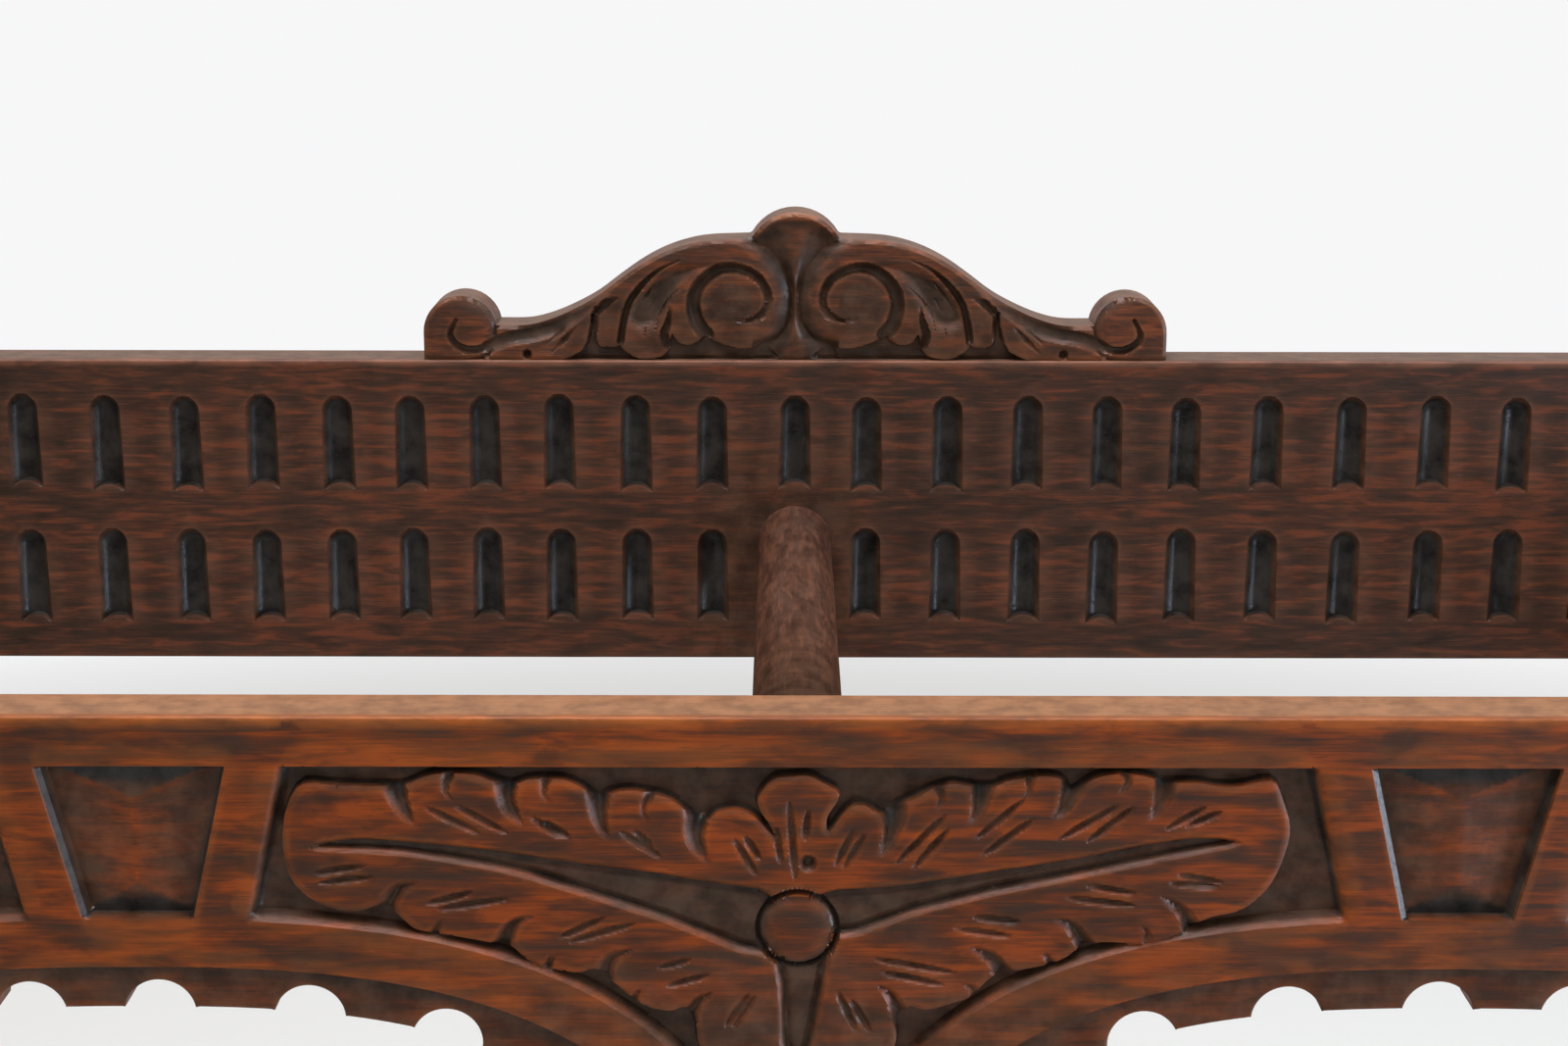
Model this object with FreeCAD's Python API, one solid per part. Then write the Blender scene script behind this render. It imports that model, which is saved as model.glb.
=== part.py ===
"""Carved oak stick stand with two compartments, a raised fluted back and a carved crest.

Millimetres. +Z is up, the carved front faces -Y, +X is the viewer's right seen from the front.
The origin is on the floor, in the middle of the stand's footprint.
Every piece of wood is a solid of its own, with the tenons, mortises, pegs and dowels that join it.
"""

import FreeCAD
import Part
import math
import os

V = FreeCAD.Vector

# ---- driving dimensions ----
overall_width = 700.0
overall_depth = 254.0
post_size = 44.0
rail_thickness = 19.0
rail_setback = 5.0  # the rails' outer faces lie this far inside the posts' outer faces
front_top = 610.0  # top of the front rail, the side rails and the divider bar
back_rise = 48.0  # how far the fluted back rail stands above them
post_cap_height = 7.0  # the posts' shallow pyramids
post_cap_lift = 3.0  # square wood between a rail's top and the pyramid

# arches under the front and side rails
arch_crown_drop = 65.0  # from a rail's top down to its arch line
arch_power = 2.6  # 2 is an ellipse; more is squarer in the haunch
pendant_half_width = 23.0  # plain wood between the two front arches
arch_end_margin = 3.0  # from a post's face to the arch line's foot
front_arch_rise = 86.0
side_arch_rise = 52.0
band_width = 13.0  # the set-back, scalloped border below the arch line
band_recess = 5.0
notch_radius = 9.0
notch_depth = 7.2
notch_pitch = 35.5
notch_shift = 3.0  # a notch lies this far from each front arch's crown, towards the pendant
notch_foot_margin = 14.0  # no notch nearer than this to the arch's foot, along the curve

# sunk panels
panel_depth = 4.5
panel_top_margin = 12.6
panel_arch_margin = 12.5  # plain wood between a panel and the arch line
leaf_sink = 0.6  # the carved leaves stop this far below the rail's face
keystone_top_width = 47.0
keystone_bottom_width = 27.7
keystone_ridge_inset = 9.5
keystone_ridge_sink = 0.9
panel_keystone_gap = 11.6  # plain wood between a keystone and the leaf panels
panel_foot_margin = 11.0  # plain wood under the panel in the pendant
panel_end_margin = 6.0
boss_radius = 9.0
boss_drop = 55.0
boss_groove = 1.6

# gouge-cut flutes
flute_width = 10.0
flute_cut_depth = 3.8
flute_pitch = 25.5
flute_row_top = 11.0  # from the back rail's top to the upper row
flute_row_gap = 11.2
flute_row_foot = 12.8  # from the lower row to the back rail's bottom edge
base_flute_margin = 16.0  # above and below the flutes on the base rails
flute_stop_radius = 6.5
flute_end_margin = 20.0

# upper frame
back_rail_height = 100.0
divider_width = 23.5
divider_height = 34.0
divider_tenon_lift = 6.0  # from the bar's underside to its tenons

# crest
crest_half_length = 119.8
crest_height = 47.7
crest_groove_depth = 3.0
crest_dowel_x = 60.0
crest_dowel_length = 24.0

# base
base_top = 150.0
base_rail_height = 65.0
base_board_thickness = 8.0
cleat_height = 10.0
cleat_depth = 14.0
stretcher_width = 36.0
stretcher_tenon_lift = 8.0
dowel_tenon_gap = 4.0  # wood between the column's lower dowel and the stretcher's tenon
board_post_gap = 0.5
cleat_post_gap = 1.0

# turned work
block_reach = 10.0  # how far a post's square blocks run past the rails they hold
foot_inset = 2.0
post_turning_radius = 19.0
block_chamfer = 1.5

# middle column
column_size = 36.0
column_block_height = 30.0
neck_block_height = 18.0
capital_height = 14.0
capital_overhang = 3.0
capital_chamfer = 6.0
column_turning_radius = 16.0

# joints
tenon_thickness = 9.0
tenon_gap = 3.0  # wood left between the two tenons that meet in a post
tenon_shoulder = 10.0
upper_tenon_height = 45.0
back_tenon_shoulder = 15.0
joint_clearance = 0.05
divider_tenon_length = 9.0
divider_tenon_width = 12.0
peg_radius = 3.0
peg_length = 25.0
dowel_radius = 4.0
column_dowel_radius = 4.5
column_dowel_bury = 14.0  # how far the lower dowel runs into the base rail and the column
pendant_dowel_bury = 8.0
neck_dowel_bury = 12.0  # below the capital
screw_radius = 1.75
screw_head_radius = 3.5
screw_length = 24.0
screw_end_inset = 30.0

# drip trays
tray_clearance = 4.0
tray_seat_gap = 0.3
tray_height = 34.0
tray_wall = 1.6
tray_rim = 4.0
tray_corner_radius = 14.0

# ---- places that follow ----
back_top = front_top + back_rise
half_width = overall_width / 2
half_depth = overall_depth / 2
post_x = half_width - post_size / 2
post_y = half_depth - post_size / 2
inner_x = half_width - post_size
inner_y = half_depth - post_size
rail_outer_y = half_depth - rail_setback
rail_inner_y = rail_outer_y - rail_thickness
rail_mid_y = rail_outer_y - rail_thickness / 2
side_outer_x = half_width - rail_setback
side_inner_x = side_outer_x - rail_thickness
side_mid_x = side_outer_x - rail_thickness / 2
long_tenon_length = side_mid_x - tenon_thickness / 2 - tenon_gap - inner_x
side_tenon_length = rail_mid_y - tenon_thickness / 2 - tenon_gap - inner_y
base_bottom = base_top - base_rail_height
board_top = base_bottom + cleat_height + base_board_thickness
cleat_reach = min(inner_x, side_inner_x - cleat_depth) - cleat_post_gap
front_spring = front_top - arch_crown_drop - front_arch_rise
side_spring = front_top - arch_crown_drop - side_arch_rise
front_arch_half = (inner_x - arch_end_margin - pendant_half_width) / 2
front_arch_x = pendant_half_width + front_arch_half
side_arch_half = inner_y - arch_end_margin
column_y = -(half_depth - column_size / 2)
panel_floor_z = front_spring + panel_foot_margin
panel_corner_z = front_top - arch_crown_drop + panel_arch_margin
foot_height = base_bottom - block_reach
lower_block_top = base_top + block_reach
upper_block_bottom = front_spring - block_reach
flute_length = (back_rail_height - flute_row_top - flute_row_gap - flute_row_foot) / 2
base_flute_length = base_rail_height - 2 * base_flute_margin

os.makedirs("parts", exist_ok=True)


# ---- small tools ----
def box(x0, x1, y0, y1, z0, z1):
    """A box between two corners."""
    return Part.makeBox(x1 - x0, y1 - y0, z1 - z0, V(x0, y0, z0))


def rod(radius, start, end):
    """A round bar between two points."""
    along = end - start
    return Part.makeCylinder(radius, along.Length, start, along)


def fuse(shapes):
    """One solid from several that touch or overlap."""
    whole = shapes[0].multiFuse(shapes[1:])
    return whole.removeSplitter()


def prism(edges, y0, depth):
    """A solid from a closed outline drawn in the XZ plane, cut from y0 towards +Y."""
    face = Part.Face(Part.Wire(Part.__sortEdges__(edges)))
    face.translate(V(0, y0, 0))
    return face.extrude(V(0, depth, 0))


def polygon_prism(points, y0, depth):
    """A prism whose outline has only straight sides, from (x, z) points."""
    corners = [V(x, 0, z) for x, z in points]
    wire = Part.makePolygon(corners + corners[:1])
    return prism(wire.Edges, y0, depth)


def spline(points):
    """One smooth edge through (x, z) points."""
    curve = Part.BSplineCurve()
    curve.interpolate([V(x, 0, z) for x, z in points])
    return curve.toShape()


def mirrored_x(shape):
    """The same shape on the other side of the stand."""
    return shape.mirror(V(0, 0, 0), V(1, 0, 0))


def both_sides(shape):
    """A shape and its mirror image."""
    return [shape, mirrored_x(shape)]


def turned(profile_edges, x, y):
    """A turning about a vertical line, from outline edges drawn as (radius, z)."""
    first = profile_edges[0].Vertexes[0].Point
    last = profile_edges[-1].Vertexes[-1].Point
    closing = [
        Part.makeLine(last, V(0, 0, last.z)),
        Part.makeLine(V(0, 0, last.z), V(0, 0, first.z)),
        Part.makeLine(V(0, 0, first.z), first),
    ]
    face = Part.Face(Part.Wire(profile_edges + closing))
    solid = face.revolve(V(0, 0, 0), V(0, 0, 1), 360)
    solid.translate(V(x, y, 0))
    return solid


def save(name, shape):
    """Writes one piece, or one group of like pieces, to its own STEP file."""
    shape.exportStep(os.path.join("parts", name + ".step"))


# ---- arches, panels and flutes, all cut into a board that faces -Y ----
def arch_point(angle, half_span, rise):
    """A point of the arch curve, from its foot at angle 0 over the crown to the other foot at pi."""
    share = 2 / arch_power
    across = abs(math.cos(angle)) ** share * math.copysign(1, math.cos(angle))
    return half_span * across, rise * abs(math.sin(angle)) ** share


def arch_curve(centre, spring, half_span, rise, steps=36):
    """Points of an arch, as (x, z)."""
    angles = [math.pi * i / steps for i in range(steps + 1)]
    found = [arch_point(a, half_span, rise) for a in angles]
    return [(centre + x, spring + z) for x, z in found]


def arch_prism(centre, spring, half_span, rise, y0, depth):
    """Everything under an arch, down to a little below its feet."""
    points = arch_curve(centre, spring, half_span, rise)
    (x_right, z_foot), (x_left, _) = points[0], points[-1]
    below = z_foot - 1.0
    sides = [
        Part.makeLine(V(x_left, 0, z_foot), V(x_left, 0, below)),
        Part.makeLine(V(x_left, 0, below), V(x_right, 0, below)),
        Part.makeLine(V(x_right, 0, below), V(x_right, 0, z_foot)),
    ]
    return prism([spline(points)] + sides, y0, depth)


def walk(points, distance):
    """The point at a distance along a run of points, with the run's direction there."""
    gone = 0.0
    for (x0, z0), (x1, z1) in zip(points, points[1:]):
        step = math.hypot(x1 - x0, z1 - z0)
        if gone + step >= distance:
            share = (distance - gone) / step
            place = (x0 + share * (x1 - x0), z0 + share * (z1 - z0))
            return place, ((x1 - x0) / step, (z1 - z0) / step)
        gone += step
    return points[-1], (0.0, -1.0)


def arch_notches(centre, spring, half_span, rise, shift, y0, depth):
    """Half-round notches along an arch's lower edge, one of them shifted towards +X from the crown."""
    points = arch_curve(centre, spring, half_span, rise, 400)
    length = sum(math.dist(a, b) for a, b in zip(points, points[1:]))
    reach = length / 2 - notch_foot_margin
    count = int(reach / notch_pitch) + 1
    cuts = []
    for k in range(-count, count + 1):
        offset = shift + k * notch_pitch
        if abs(offset) > reach:
            continue
        # the curve starts at its right-hand foot, so distance grows towards -X
        (x, z), (dx, dz) = walk(points, length / 2 - offset)
        sunk = notch_radius - notch_depth
        centre_point = V(x - dz * sunk, y0, z + dx * sunk)
        cuts.append(rod(notch_radius, centre_point, centre_point + V(0, depth, 0)))
    return cuts


def arch_cuts(centre, spring, half_span, rise, shift, face_y):
    """The opening of one arch, its set-back border and the border's notches."""
    inner_half = half_span - band_width
    inner_rise = rise - band_width
    start = face_y - 1.0
    through = rail_thickness + 2.0
    return [
        arch_prism(centre, spring, inner_half, inner_rise, start, through),
        arch_prism(centre, spring, half_span, rise, start, band_recess + 1.0),
    ] + arch_notches(centre, spring, inner_half, inner_rise, shift, start, through)


def keystone_cut(centre, top_z, face_y):
    """A sunk panel, wider at its top, whose floor rises to a short upright ridge."""
    bottom_z = panel_corner_z
    top_half, bottom_half = keystone_top_width / 2, keystone_bottom_width / 2
    corners = [
        (centre - top_half, top_z),
        (centre + top_half, top_z),
        (centre + bottom_half, bottom_z),
        (centre - bottom_half, bottom_z),
    ]
    pocket = polygon_prism(corners, face_y - 1.0, panel_depth + 1.0)
    floor = [V(x, face_y + panel_depth, z) for x, z in corners]
    ridge_y = face_y + keystone_ridge_sink
    high = V(centre, ridge_y, top_z - keystone_ridge_inset)
    low = V(centre, ridge_y, bottom_z + keystone_ridge_inset)
    triangles = [
        (floor[0], floor[1], high),
        (floor[1], floor[2], high),
        (floor[2], low, high),
        (floor[2], floor[3], low),
        (floor[3], floor[0], low),
        (floor[0], high, low),
        (floor[0], floor[2], floor[1]),
        (floor[0], floor[3], floor[2]),
    ]
    faces = [Part.Face(Part.makePolygon([a, b, c, a])) for a, b, c in triangles]
    hip = Part.Solid(Part.Shell(faces))
    if hip.Volume < 0:
        hip.reverse()
    return pocket.cut(hip)


def leaf_island(points, face_y):
    """The raised body of a carved leaf, from a few points of its outline."""
    curve = Part.BSplineCurve()
    curve.interpolate([V(x, 0, z) for x, z in points], True)
    return prism([curve.toShape()], face_y + leaf_sink, panel_depth)


def spandrel_cuts(face_y):
    """The middle leaf panel and the half panels at both ends of the front rail."""
    top_z = front_top - panel_top_margin
    panel_top_corner = front_arch_x - keystone_top_width / 2 - panel_keystone_gap
    slant = (keystone_top_width - keystone_bottom_width) / 2 / (top_z - panel_corner_z)
    foot_corner = panel_top_corner + slant * (top_z - panel_floor_z)
    start, depth = face_y - 1.0, panel_depth + 1.0
    middle = polygon_prism(
        [
            (-panel_top_corner, top_z),
            (panel_top_corner, top_z),
            (foot_corner, panel_floor_z),
            (-foot_corner, panel_floor_z),
        ],
        start,
        depth,
    )
    gap_to_next = 2 * (front_arch_x - panel_top_corner)
    end_top = panel_top_corner + gap_to_next
    end_foot = 2 * front_arch_x - foot_corner
    end_edge = inner_x - panel_end_margin
    end_panel = polygon_prism(
        [
            (end_top, top_z),
            (end_edge, top_z),
            (end_edge, panel_floor_z),
            (end_foot, panel_floor_z),
        ],
        start,
        depth,
    )
    spans = [
        arch_prism(
            centre,
            front_spring,
            front_arch_half + panel_arch_margin,
            front_arch_rise + panel_arch_margin,
            start - 1.0,
            depth + 2.0,
        )
        for centre in (-front_arch_x, front_arch_x)
    ]
    boss_z = front_top - boss_drop
    leaf_start = boss_radius + 3.0
    leaf_run = panel_top_corner - 7.0 - leaf_start
    # how far along the leaf each point lies, and its height
    side_leaf = [
        (0.00, boss_z + 5.0),
        (0.22, boss_z + 27.0),
        (0.53, top_z - 5.0),
        (0.88, top_z - 4.0),
        (1.00, boss_z + 24.0),
        (0.92, boss_z + 9.0),
        (0.63, boss_z + 2.0),
        (0.30, boss_z - 12.0),
        (0.08, boss_z - 22.0),
    ]
    side_leaf = [(leaf_start + share * leaf_run, z) for share, z in side_leaf]
    end_leaf = [(2 * front_arch_x - x, z) for x, z in side_leaf[2:7]]
    end_leaf += [(end_edge - 5.0, boss_z - 25.0), (end_edge - 4.0, top_z - 12.0)]
    foot_leaf = [
        (0.0, boss_z - boss_radius - 3.0),
        (13.0, boss_z - 32.0),
        (7.5, panel_floor_z + 16.0),
        (0.0, panel_floor_z + 4.0),
        (-7.5, panel_floor_z + 16.0),
        (-13.0, boss_z - 32.0),
    ]
    crown_leaf = [
        (boss_radius + 2.0, boss_z + 15.0),
        (13.0, boss_z + 27.0),
        (0.0, top_z - 2.0),
        (-13.0, boss_z + 27.0),
        (-boss_radius - 2.0, boss_z + 15.0),
    ]
    boss = rod(boss_radius, V(0, face_y, boss_z), V(0, face_y + panel_depth + 1.0, boss_z))
    islands = both_sides(leaf_island(side_leaf, face_y))
    islands += both_sides(leaf_island(end_leaf, face_y))
    islands += [leaf_island(foot_leaf, face_y), leaf_island(crown_leaf, face_y), boss]
    return [panel.cut(spans + islands) for panel in [middle] + both_sides(end_panel)]


def flute_cut(x, top_z, length, face_y):
    """One gouge cut: round at its top, and stopped at its bottom by an upward-curving chop."""
    half = flute_width / 2
    radius = (half**2 + flute_cut_depth**2) / (2 * flute_cut_depth)
    axis_y = face_y - (radius - flute_cut_depth)
    round_z = top_z - half
    bottom_z = top_z - length
    groove = rod(radius, V(x, axis_y, bottom_z - 1.0), V(x, axis_y, round_z))
    end = Part.makeSphere(radius, V(x, axis_y, round_z))
    stop_z = bottom_z - math.sqrt(flute_stop_radius**2 - half**2)
    stop = rod(
        flute_stop_radius,
        V(x, axis_y - 2 * radius, stop_z),
        V(x, axis_y + 2 * radius, stop_z),
    )
    return groove.fuse(end).cut(stop)


def flute_row(half_length, top_z, length, face_y):
    """A row of flutes, centred, as many as the rail takes."""
    count = int((half_length - flute_end_margin) / flute_pitch)
    places = [k * flute_pitch for k in range(-count, count + 1)]
    return [flute_cut(x, top_z, length, face_y) for x in places]


# ---- joints between rails and posts ----
def grown(x0, x1, y0, y1, z0, z1):
    """The mortise for a tenon of this box: a hair wider all round."""
    c = joint_clearance
    return x0 - c, x1 + c, y0 - c, y1 + c, z0 - c, z1 + c


def long_tenon(z0, z1, y_mid):
    """The right-hand tenon of a rail that runs along X, as box limits."""
    half = tenon_thickness / 2
    return inner_x, inner_x + long_tenon_length, y_mid - half, y_mid + half, z0, z1


def side_tenon(z0, z1, x_mid):
    """The rear tenon of a rail that runs along Y, as box limits."""
    half = tenon_thickness / 2
    return x_mid - half, x_mid + half, inner_y, inner_y + side_tenon_length, z0, z1


def flip_y(shape):
    """The same shape at the other end of a side rail."""
    return shape.mirror(V(0, 0, 0), V(0, 1, 0))


def peg_along_y(z, y_sign, radius):
    """A peg through a post's front or rear face and the tenon of a long rail."""
    x = inner_x + long_tenon_length / 2
    outer = V(x, y_sign * half_depth, z)
    return rod(radius, outer, outer + V(0, -y_sign * peg_length, 0))


def peg_along_x(z, y_sign, radius):
    """A peg through a post's outer side face and the tenon of a side rail."""
    y = y_sign * (inner_y + side_tenon_length / 2)
    outer = V(half_width, y, z)
    return rod(radius, outer, outer + V(-peg_length, 0, 0))


# where the joints lie in height: bottom and top of each tenon
front_joint = (front_top - tenon_shoulder - upper_tenon_height, front_top - tenon_shoulder)
side_joint = front_joint
back_joint = (
    back_top - back_rail_height + back_tenon_shoulder,
    back_top - back_tenon_shoulder,
)
base_joint = (base_bottom + tenon_shoulder, base_top - tenon_shoulder)


def middle(joint):
    """The height of the peg in a joint."""
    return sum(joint) / 2


def drilled(shape, holes):
    """A piece with its peg, dowel or screw holes."""
    return shape.cut(holes)


def hole_radius(radius):
    return radius + joint_clearance


def long_rail(body, joint, y_mid, y_sign):
    """A rail along X with its two pegged tenons."""
    tenon = box(*long_tenon(*joint, y_mid))
    whole = fuse([body] + both_sides(tenon))
    holes = both_sides(peg_along_y(middle(joint), y_sign, hole_radius(peg_radius)))
    return drilled(whole, holes)


def side_rail(body, joint):
    """The right-hand rail along Y with its two pegged tenons."""
    tenon = box(*side_tenon(*joint, side_mid_x))
    whole = fuse([body, tenon, flip_y(tenon)])
    pegs = [peg_along_x(middle(joint), s, hole_radius(peg_radius)) for s in (-1, 1)]
    return drilled(whole, pegs)


# ---- turned posts and column ----
def arc(r0, z0, r_mid, z_mid, r1, z1):
    """A round stretch of a turning's outline."""
    return Part.Arc(V(r0, 0, z0), V(r_mid, 0, z_mid), V(r1, 0, z1)).toShape()


def bead(radius, z, height, swell):
    """A half-round ring that stands out from a fillet of the given radius."""
    return arc(radius, z, radius + swell, z + height / 2, radius, z + height)


def step(r0, r1, z):
    """A flat shoulder."""
    return Part.makeLine(V(r0, 0, z), V(r1, 0, z))


def baluster(z0, z1, radius):
    """The outline of a turned stretch: two beads, a vase, a ring, a long neck and two beads."""
    r = radius
    ring = 0.16 * r  # how far the small beads swell
    waist = 0.55 * r
    bead_h = 0.42 * r
    vase_bottom = z0 + 2.4 * bead_h
    vase_top = vase_bottom + 0.38 * (z1 - z0)
    neck_top = z1 - 2.4 * bead_h
    vase = Part.BSplineCurve()
    vase.interpolate(
        [
            V(waist, 0, vase_bottom),
            V(0.78 * r, 0, vase_bottom + 0.16 * (vase_top - vase_bottom)),
            V(0.98 * r, 0, vase_bottom + 0.42 * (vase_top - vase_bottom)),
            V(0.80 * r, 0, vase_bottom + 0.72 * (vase_top - vase_bottom)),
            V(waist, 0, vase_top),
        ]
    )
    neck = Part.BSplineCurve()
    neck_base = vase_top + 1.6 * bead_h
    neck.interpolate(
        [
            V(0.70 * r, 0, neck_base),
            V(0.52 * r, 0, neck_base + 0.15 * (neck_top - neck_base)),
            V(0.50 * r, 0, neck_base + 0.45 * (neck_top - neck_base)),
            V(0.62 * r, 0, neck_base + 0.80 * (neck_top - neck_base)),
            V(0.80 * r, 0, neck_top),
        ]
    )
    foot_bead, small_bead = z0 + 0.2 * bead_h, z0 + 1.4 * bead_h
    return [
        Part.makeLine(V(0.84 * r, 0, z0), V(0.84 * r, 0, foot_bead)),
        bead(0.84 * r, foot_bead, bead_h, ring),
        Part.makeLine(V(0.84 * r, 0, foot_bead + bead_h), V(0.66 * r, 0, small_bead)),
        bead(0.66 * r, small_bead, 0.6 * bead_h, ring),
        Part.makeLine(V(0.66 * r, 0, small_bead + 0.6 * bead_h), V(waist, 0, vase_bottom)),
        vase.toShape(),
        step(waist, 0.66 * r, vase_top),
        bead(0.66 * r, vase_top, bead_h, 1.6 * ring),
        Part.makeLine(V(0.66 * r, 0, vase_top + bead_h), V(0.70 * r, 0, neck_base)),
        neck.toShape(),
        bead(0.80 * r, neck_top, bead_h, ring),
        step(0.80 * r, 0.66 * r, neck_top + bead_h),
        Part.makeLine(
            V(0.66 * r, 0, neck_top + bead_h), V(0.66 * r, 0, neck_top + 1.4 * bead_h)
        ),
        step(0.66 * r, 0.84 * r, neck_top + 1.4 * bead_h),
        Part.makeLine(V(0.84 * r, 0, neck_top + 1.4 * bead_h), V(0.84 * r, 0, z1)),
    ]


def foot_outline(height, radius):
    """The outline of a turned bun foot with a ring above it."""
    return [
        arc(0.72 * radius, 0, 1.08 * radius, 0.30 * height, 0.62 * radius, 0.66 * height),
        step(0.62 * radius, 0.78 * radius, 0.66 * height),
        bead(0.78 * radius, 0.66 * height, 0.18 * height, 0.16 * radius),
        step(0.78 * radius, 0.70 * radius, 0.84 * height),
        Part.makeLine(V(0.70 * radius, 0, 0.84 * height), V(0.70 * radius, 0, height)),
    ]


def block(x, y, size, z0, z1):
    """A square stretch of a post, with its long edges chamfered."""
    half = size / 2
    body = box(x - half, x + half, y - half, y + half, z0, z1)
    upright = [e for e in body.Edges if abs(e.tangentAt(e.FirstParameter).z) > 0.9]
    return body.makeChamfer(block_chamfer, upright)


def pyramid(x, y, size, z, height):
    """The shallow cap on a post, which starts as wide as the block inside its chamfers."""
    half = size / 2 - block_chamfer
    base = [V(x + a * half, y + b * half, z) for a, b in ((1, 1), (-1, 1), (-1, -1), (1, -1))]
    tip = V(x, y, z + height)
    faces = [
        Part.Face(Part.makePolygon([p, q, tip, p]))
        for p, q in zip(base, base[1:] + base[:1])
    ]
    faces.append(Part.Face(Part.makePolygon(base + base[:1])))
    solid = Part.Solid(Part.Shell(faces))
    if solid.Volume < 0:
        solid.reverse()
    return solid


def post(y_sign, top):
    """A right-hand post from the floor to its cap. The front ones are shorter than the rear ones."""
    x, y = post_x, y_sign * post_y
    cap_z = top + post_cap_lift
    pieces = [
        turned(foot_outline(foot_height, post_size / 2 - foot_inset), x, y),
        block(x, y, post_size, foot_height, lower_block_top),
        turned(baluster(lower_block_top, upper_block_bottom, post_turning_radius), x, y),
        block(x, y, post_size, upper_block_bottom, cap_z),
        pyramid(x, y, post_size, cap_z, post_cap_height),
    ]
    whole = fuse(pieces)
    y_mid = y_sign * rail_mid_y
    upper = front_joint if y_sign < 0 else back_joint
    mortises = [box(*grown(*long_tenon(*j, y_mid))) for j in (upper, base_joint)]
    for joint in (side_joint, base_joint):
        socket = box(*grown(*side_tenon(*joint, side_mid_x)))
        mortises.append(socket if y_sign > 0 else flip_y(socket))
    radius = hole_radius(peg_radius)
    holes = [peg_along_y(middle(j), y_sign, radius) for j in (upper, base_joint)]
    holes += [peg_along_x(middle(j), y_sign, radius) for j in (side_joint, base_joint)]
    return drilled(whole, mortises + holes)


def save_pegs():
    """The oak pegs, in one group for each frame they draw tight."""
    groups = {
        "front_rail_pegs": [peg_along_y(middle(front_joint), -1, peg_radius)],
        "back_rail_pegs": [peg_along_y(middle(back_joint), 1, peg_radius)],
        "side_rail_pegs": [
            peg_along_x(middle(side_joint), s, peg_radius) for s in (-1, 1)
        ],
        "base_frame_pegs": [
            peg(middle(base_joint), s, peg_radius)
            for peg in (peg_along_y, peg_along_x)
            for s in (-1, 1)
        ],
    }
    for name, right_hand in groups.items():
        pegs = [p for one in right_hand for p in both_sides(one)]
        save(name, Part.makeCompound(pegs))


# ---- upper frame ----
def front_rail():
    """The carved front rail with its two scalloped arches."""
    face_y = -rail_outer_y
    body = box(-inner_x, inner_x, face_y, face_y + rail_thickness, front_spring, front_top)
    cuts = []
    for side in (-1, 1):
        cuts += arch_cuts(
            side * front_arch_x,
            front_spring,
            front_arch_half,
            front_arch_rise,
            -side * notch_shift,
            face_y,
        )
        cuts.append(keystone_cut(side * front_arch_x, front_top - panel_top_margin, face_y))
    cuts += spandrel_cuts(face_y)
    board = body.cut(cuts)
    boss_z = front_top - boss_drop
    ring = rod(
        boss_radius + boss_groove,
        V(0, face_y - 1.0, boss_z),
        V(0, face_y + panel_depth, boss_z),
    ).cut(rod(boss_radius, V(0, face_y - 2.0, boss_z), V(0, face_y + 9.0, boss_z)))
    board = board.cut([ring, divider_mortise(-1), column_dowel_hole_top()])
    return long_rail(board, front_joint, -rail_mid_y, -1)


def back_rail():
    """The raised back rail with two rows of flutes."""
    face_y = rail_inner_y
    bottom = back_top - back_rail_height
    body = box(-inner_x, inner_x, face_y, face_y + rail_thickness, bottom, back_top)
    upper = back_top - flute_row_top
    rows = flute_row(inner_x, upper, flute_length, face_y)
    lower = upper - flute_length - flute_row_gap
    rows += flute_row(inner_x, lower, flute_length, face_y)
    sockets = [crest_dowel(s, hole_radius(dowel_radius)) for s in (-1, 1)]
    board = body.cut(rows + sockets + [divider_mortise(1)])
    return long_rail(board, back_joint, rail_mid_y, 1)


def top_side_rail():
    """The right-hand top side rail: one scalloped arch, a sunk panel and a few flutes."""
    face = -side_outer_x
    body = box(-inner_y, inner_y, face, face + rail_thickness, side_spring, front_top)
    top_z = front_top - panel_top_margin
    cuts = arch_cuts(0.0, side_spring, side_arch_half, side_arch_rise, 0, face)
    cuts.append(keystone_cut(0.0, top_z, face))
    first = keystone_top_width / 2 + flute_pitch / 2
    places = [first, first + flute_pitch]
    for place in places:
        if place < inner_y - flute_width:
            cuts += both_sides(flute_cut(place, top_z, flute_length, face))
    board = body.cut(cuts)
    board.rotate(V(0, 0, 0), V(0, 0, 1), 90)
    return side_rail(board, side_joint)


def divider_tenon(y_sign, clearance=0.0):
    """The stub tenon at one end of the divider bar."""
    half = divider_tenon_width / 2 + clearance
    z0 = front_top - divider_height + divider_tenon_lift - clearance
    z1 = front_top - divider_width / 2 + clearance
    reach = rail_inner_y + divider_tenon_length + clearance
    y0, y1 = sorted((y_sign * rail_inner_y, y_sign * reach))
    return box(-half, half, y0, y1, z0, z1)


def divider_mortise(y_sign):
    return divider_tenon(y_sign, joint_clearance)


def divider_bar():
    """The bar that parts the two compartments, with a half-round top."""
    half = divider_width / 2
    bottom, round_z = front_top - divider_height, front_top - half
    start, length = -rail_inner_y, 2 * rail_inner_y
    outline = [
        Part.makeLine(V(-half, 0, bottom), V(half, 0, bottom)),
        Part.makeLine(V(half, 0, bottom), V(half, 0, round_z)),
        arc(half, round_z, 0, front_top, -half, round_z),
        Part.makeLine(V(-half, 0, round_z), V(-half, 0, bottom)),
    ]
    bar = prism(outline, start, length)
    return fuse([bar, divider_tenon(-1), divider_tenon(1)])


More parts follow.
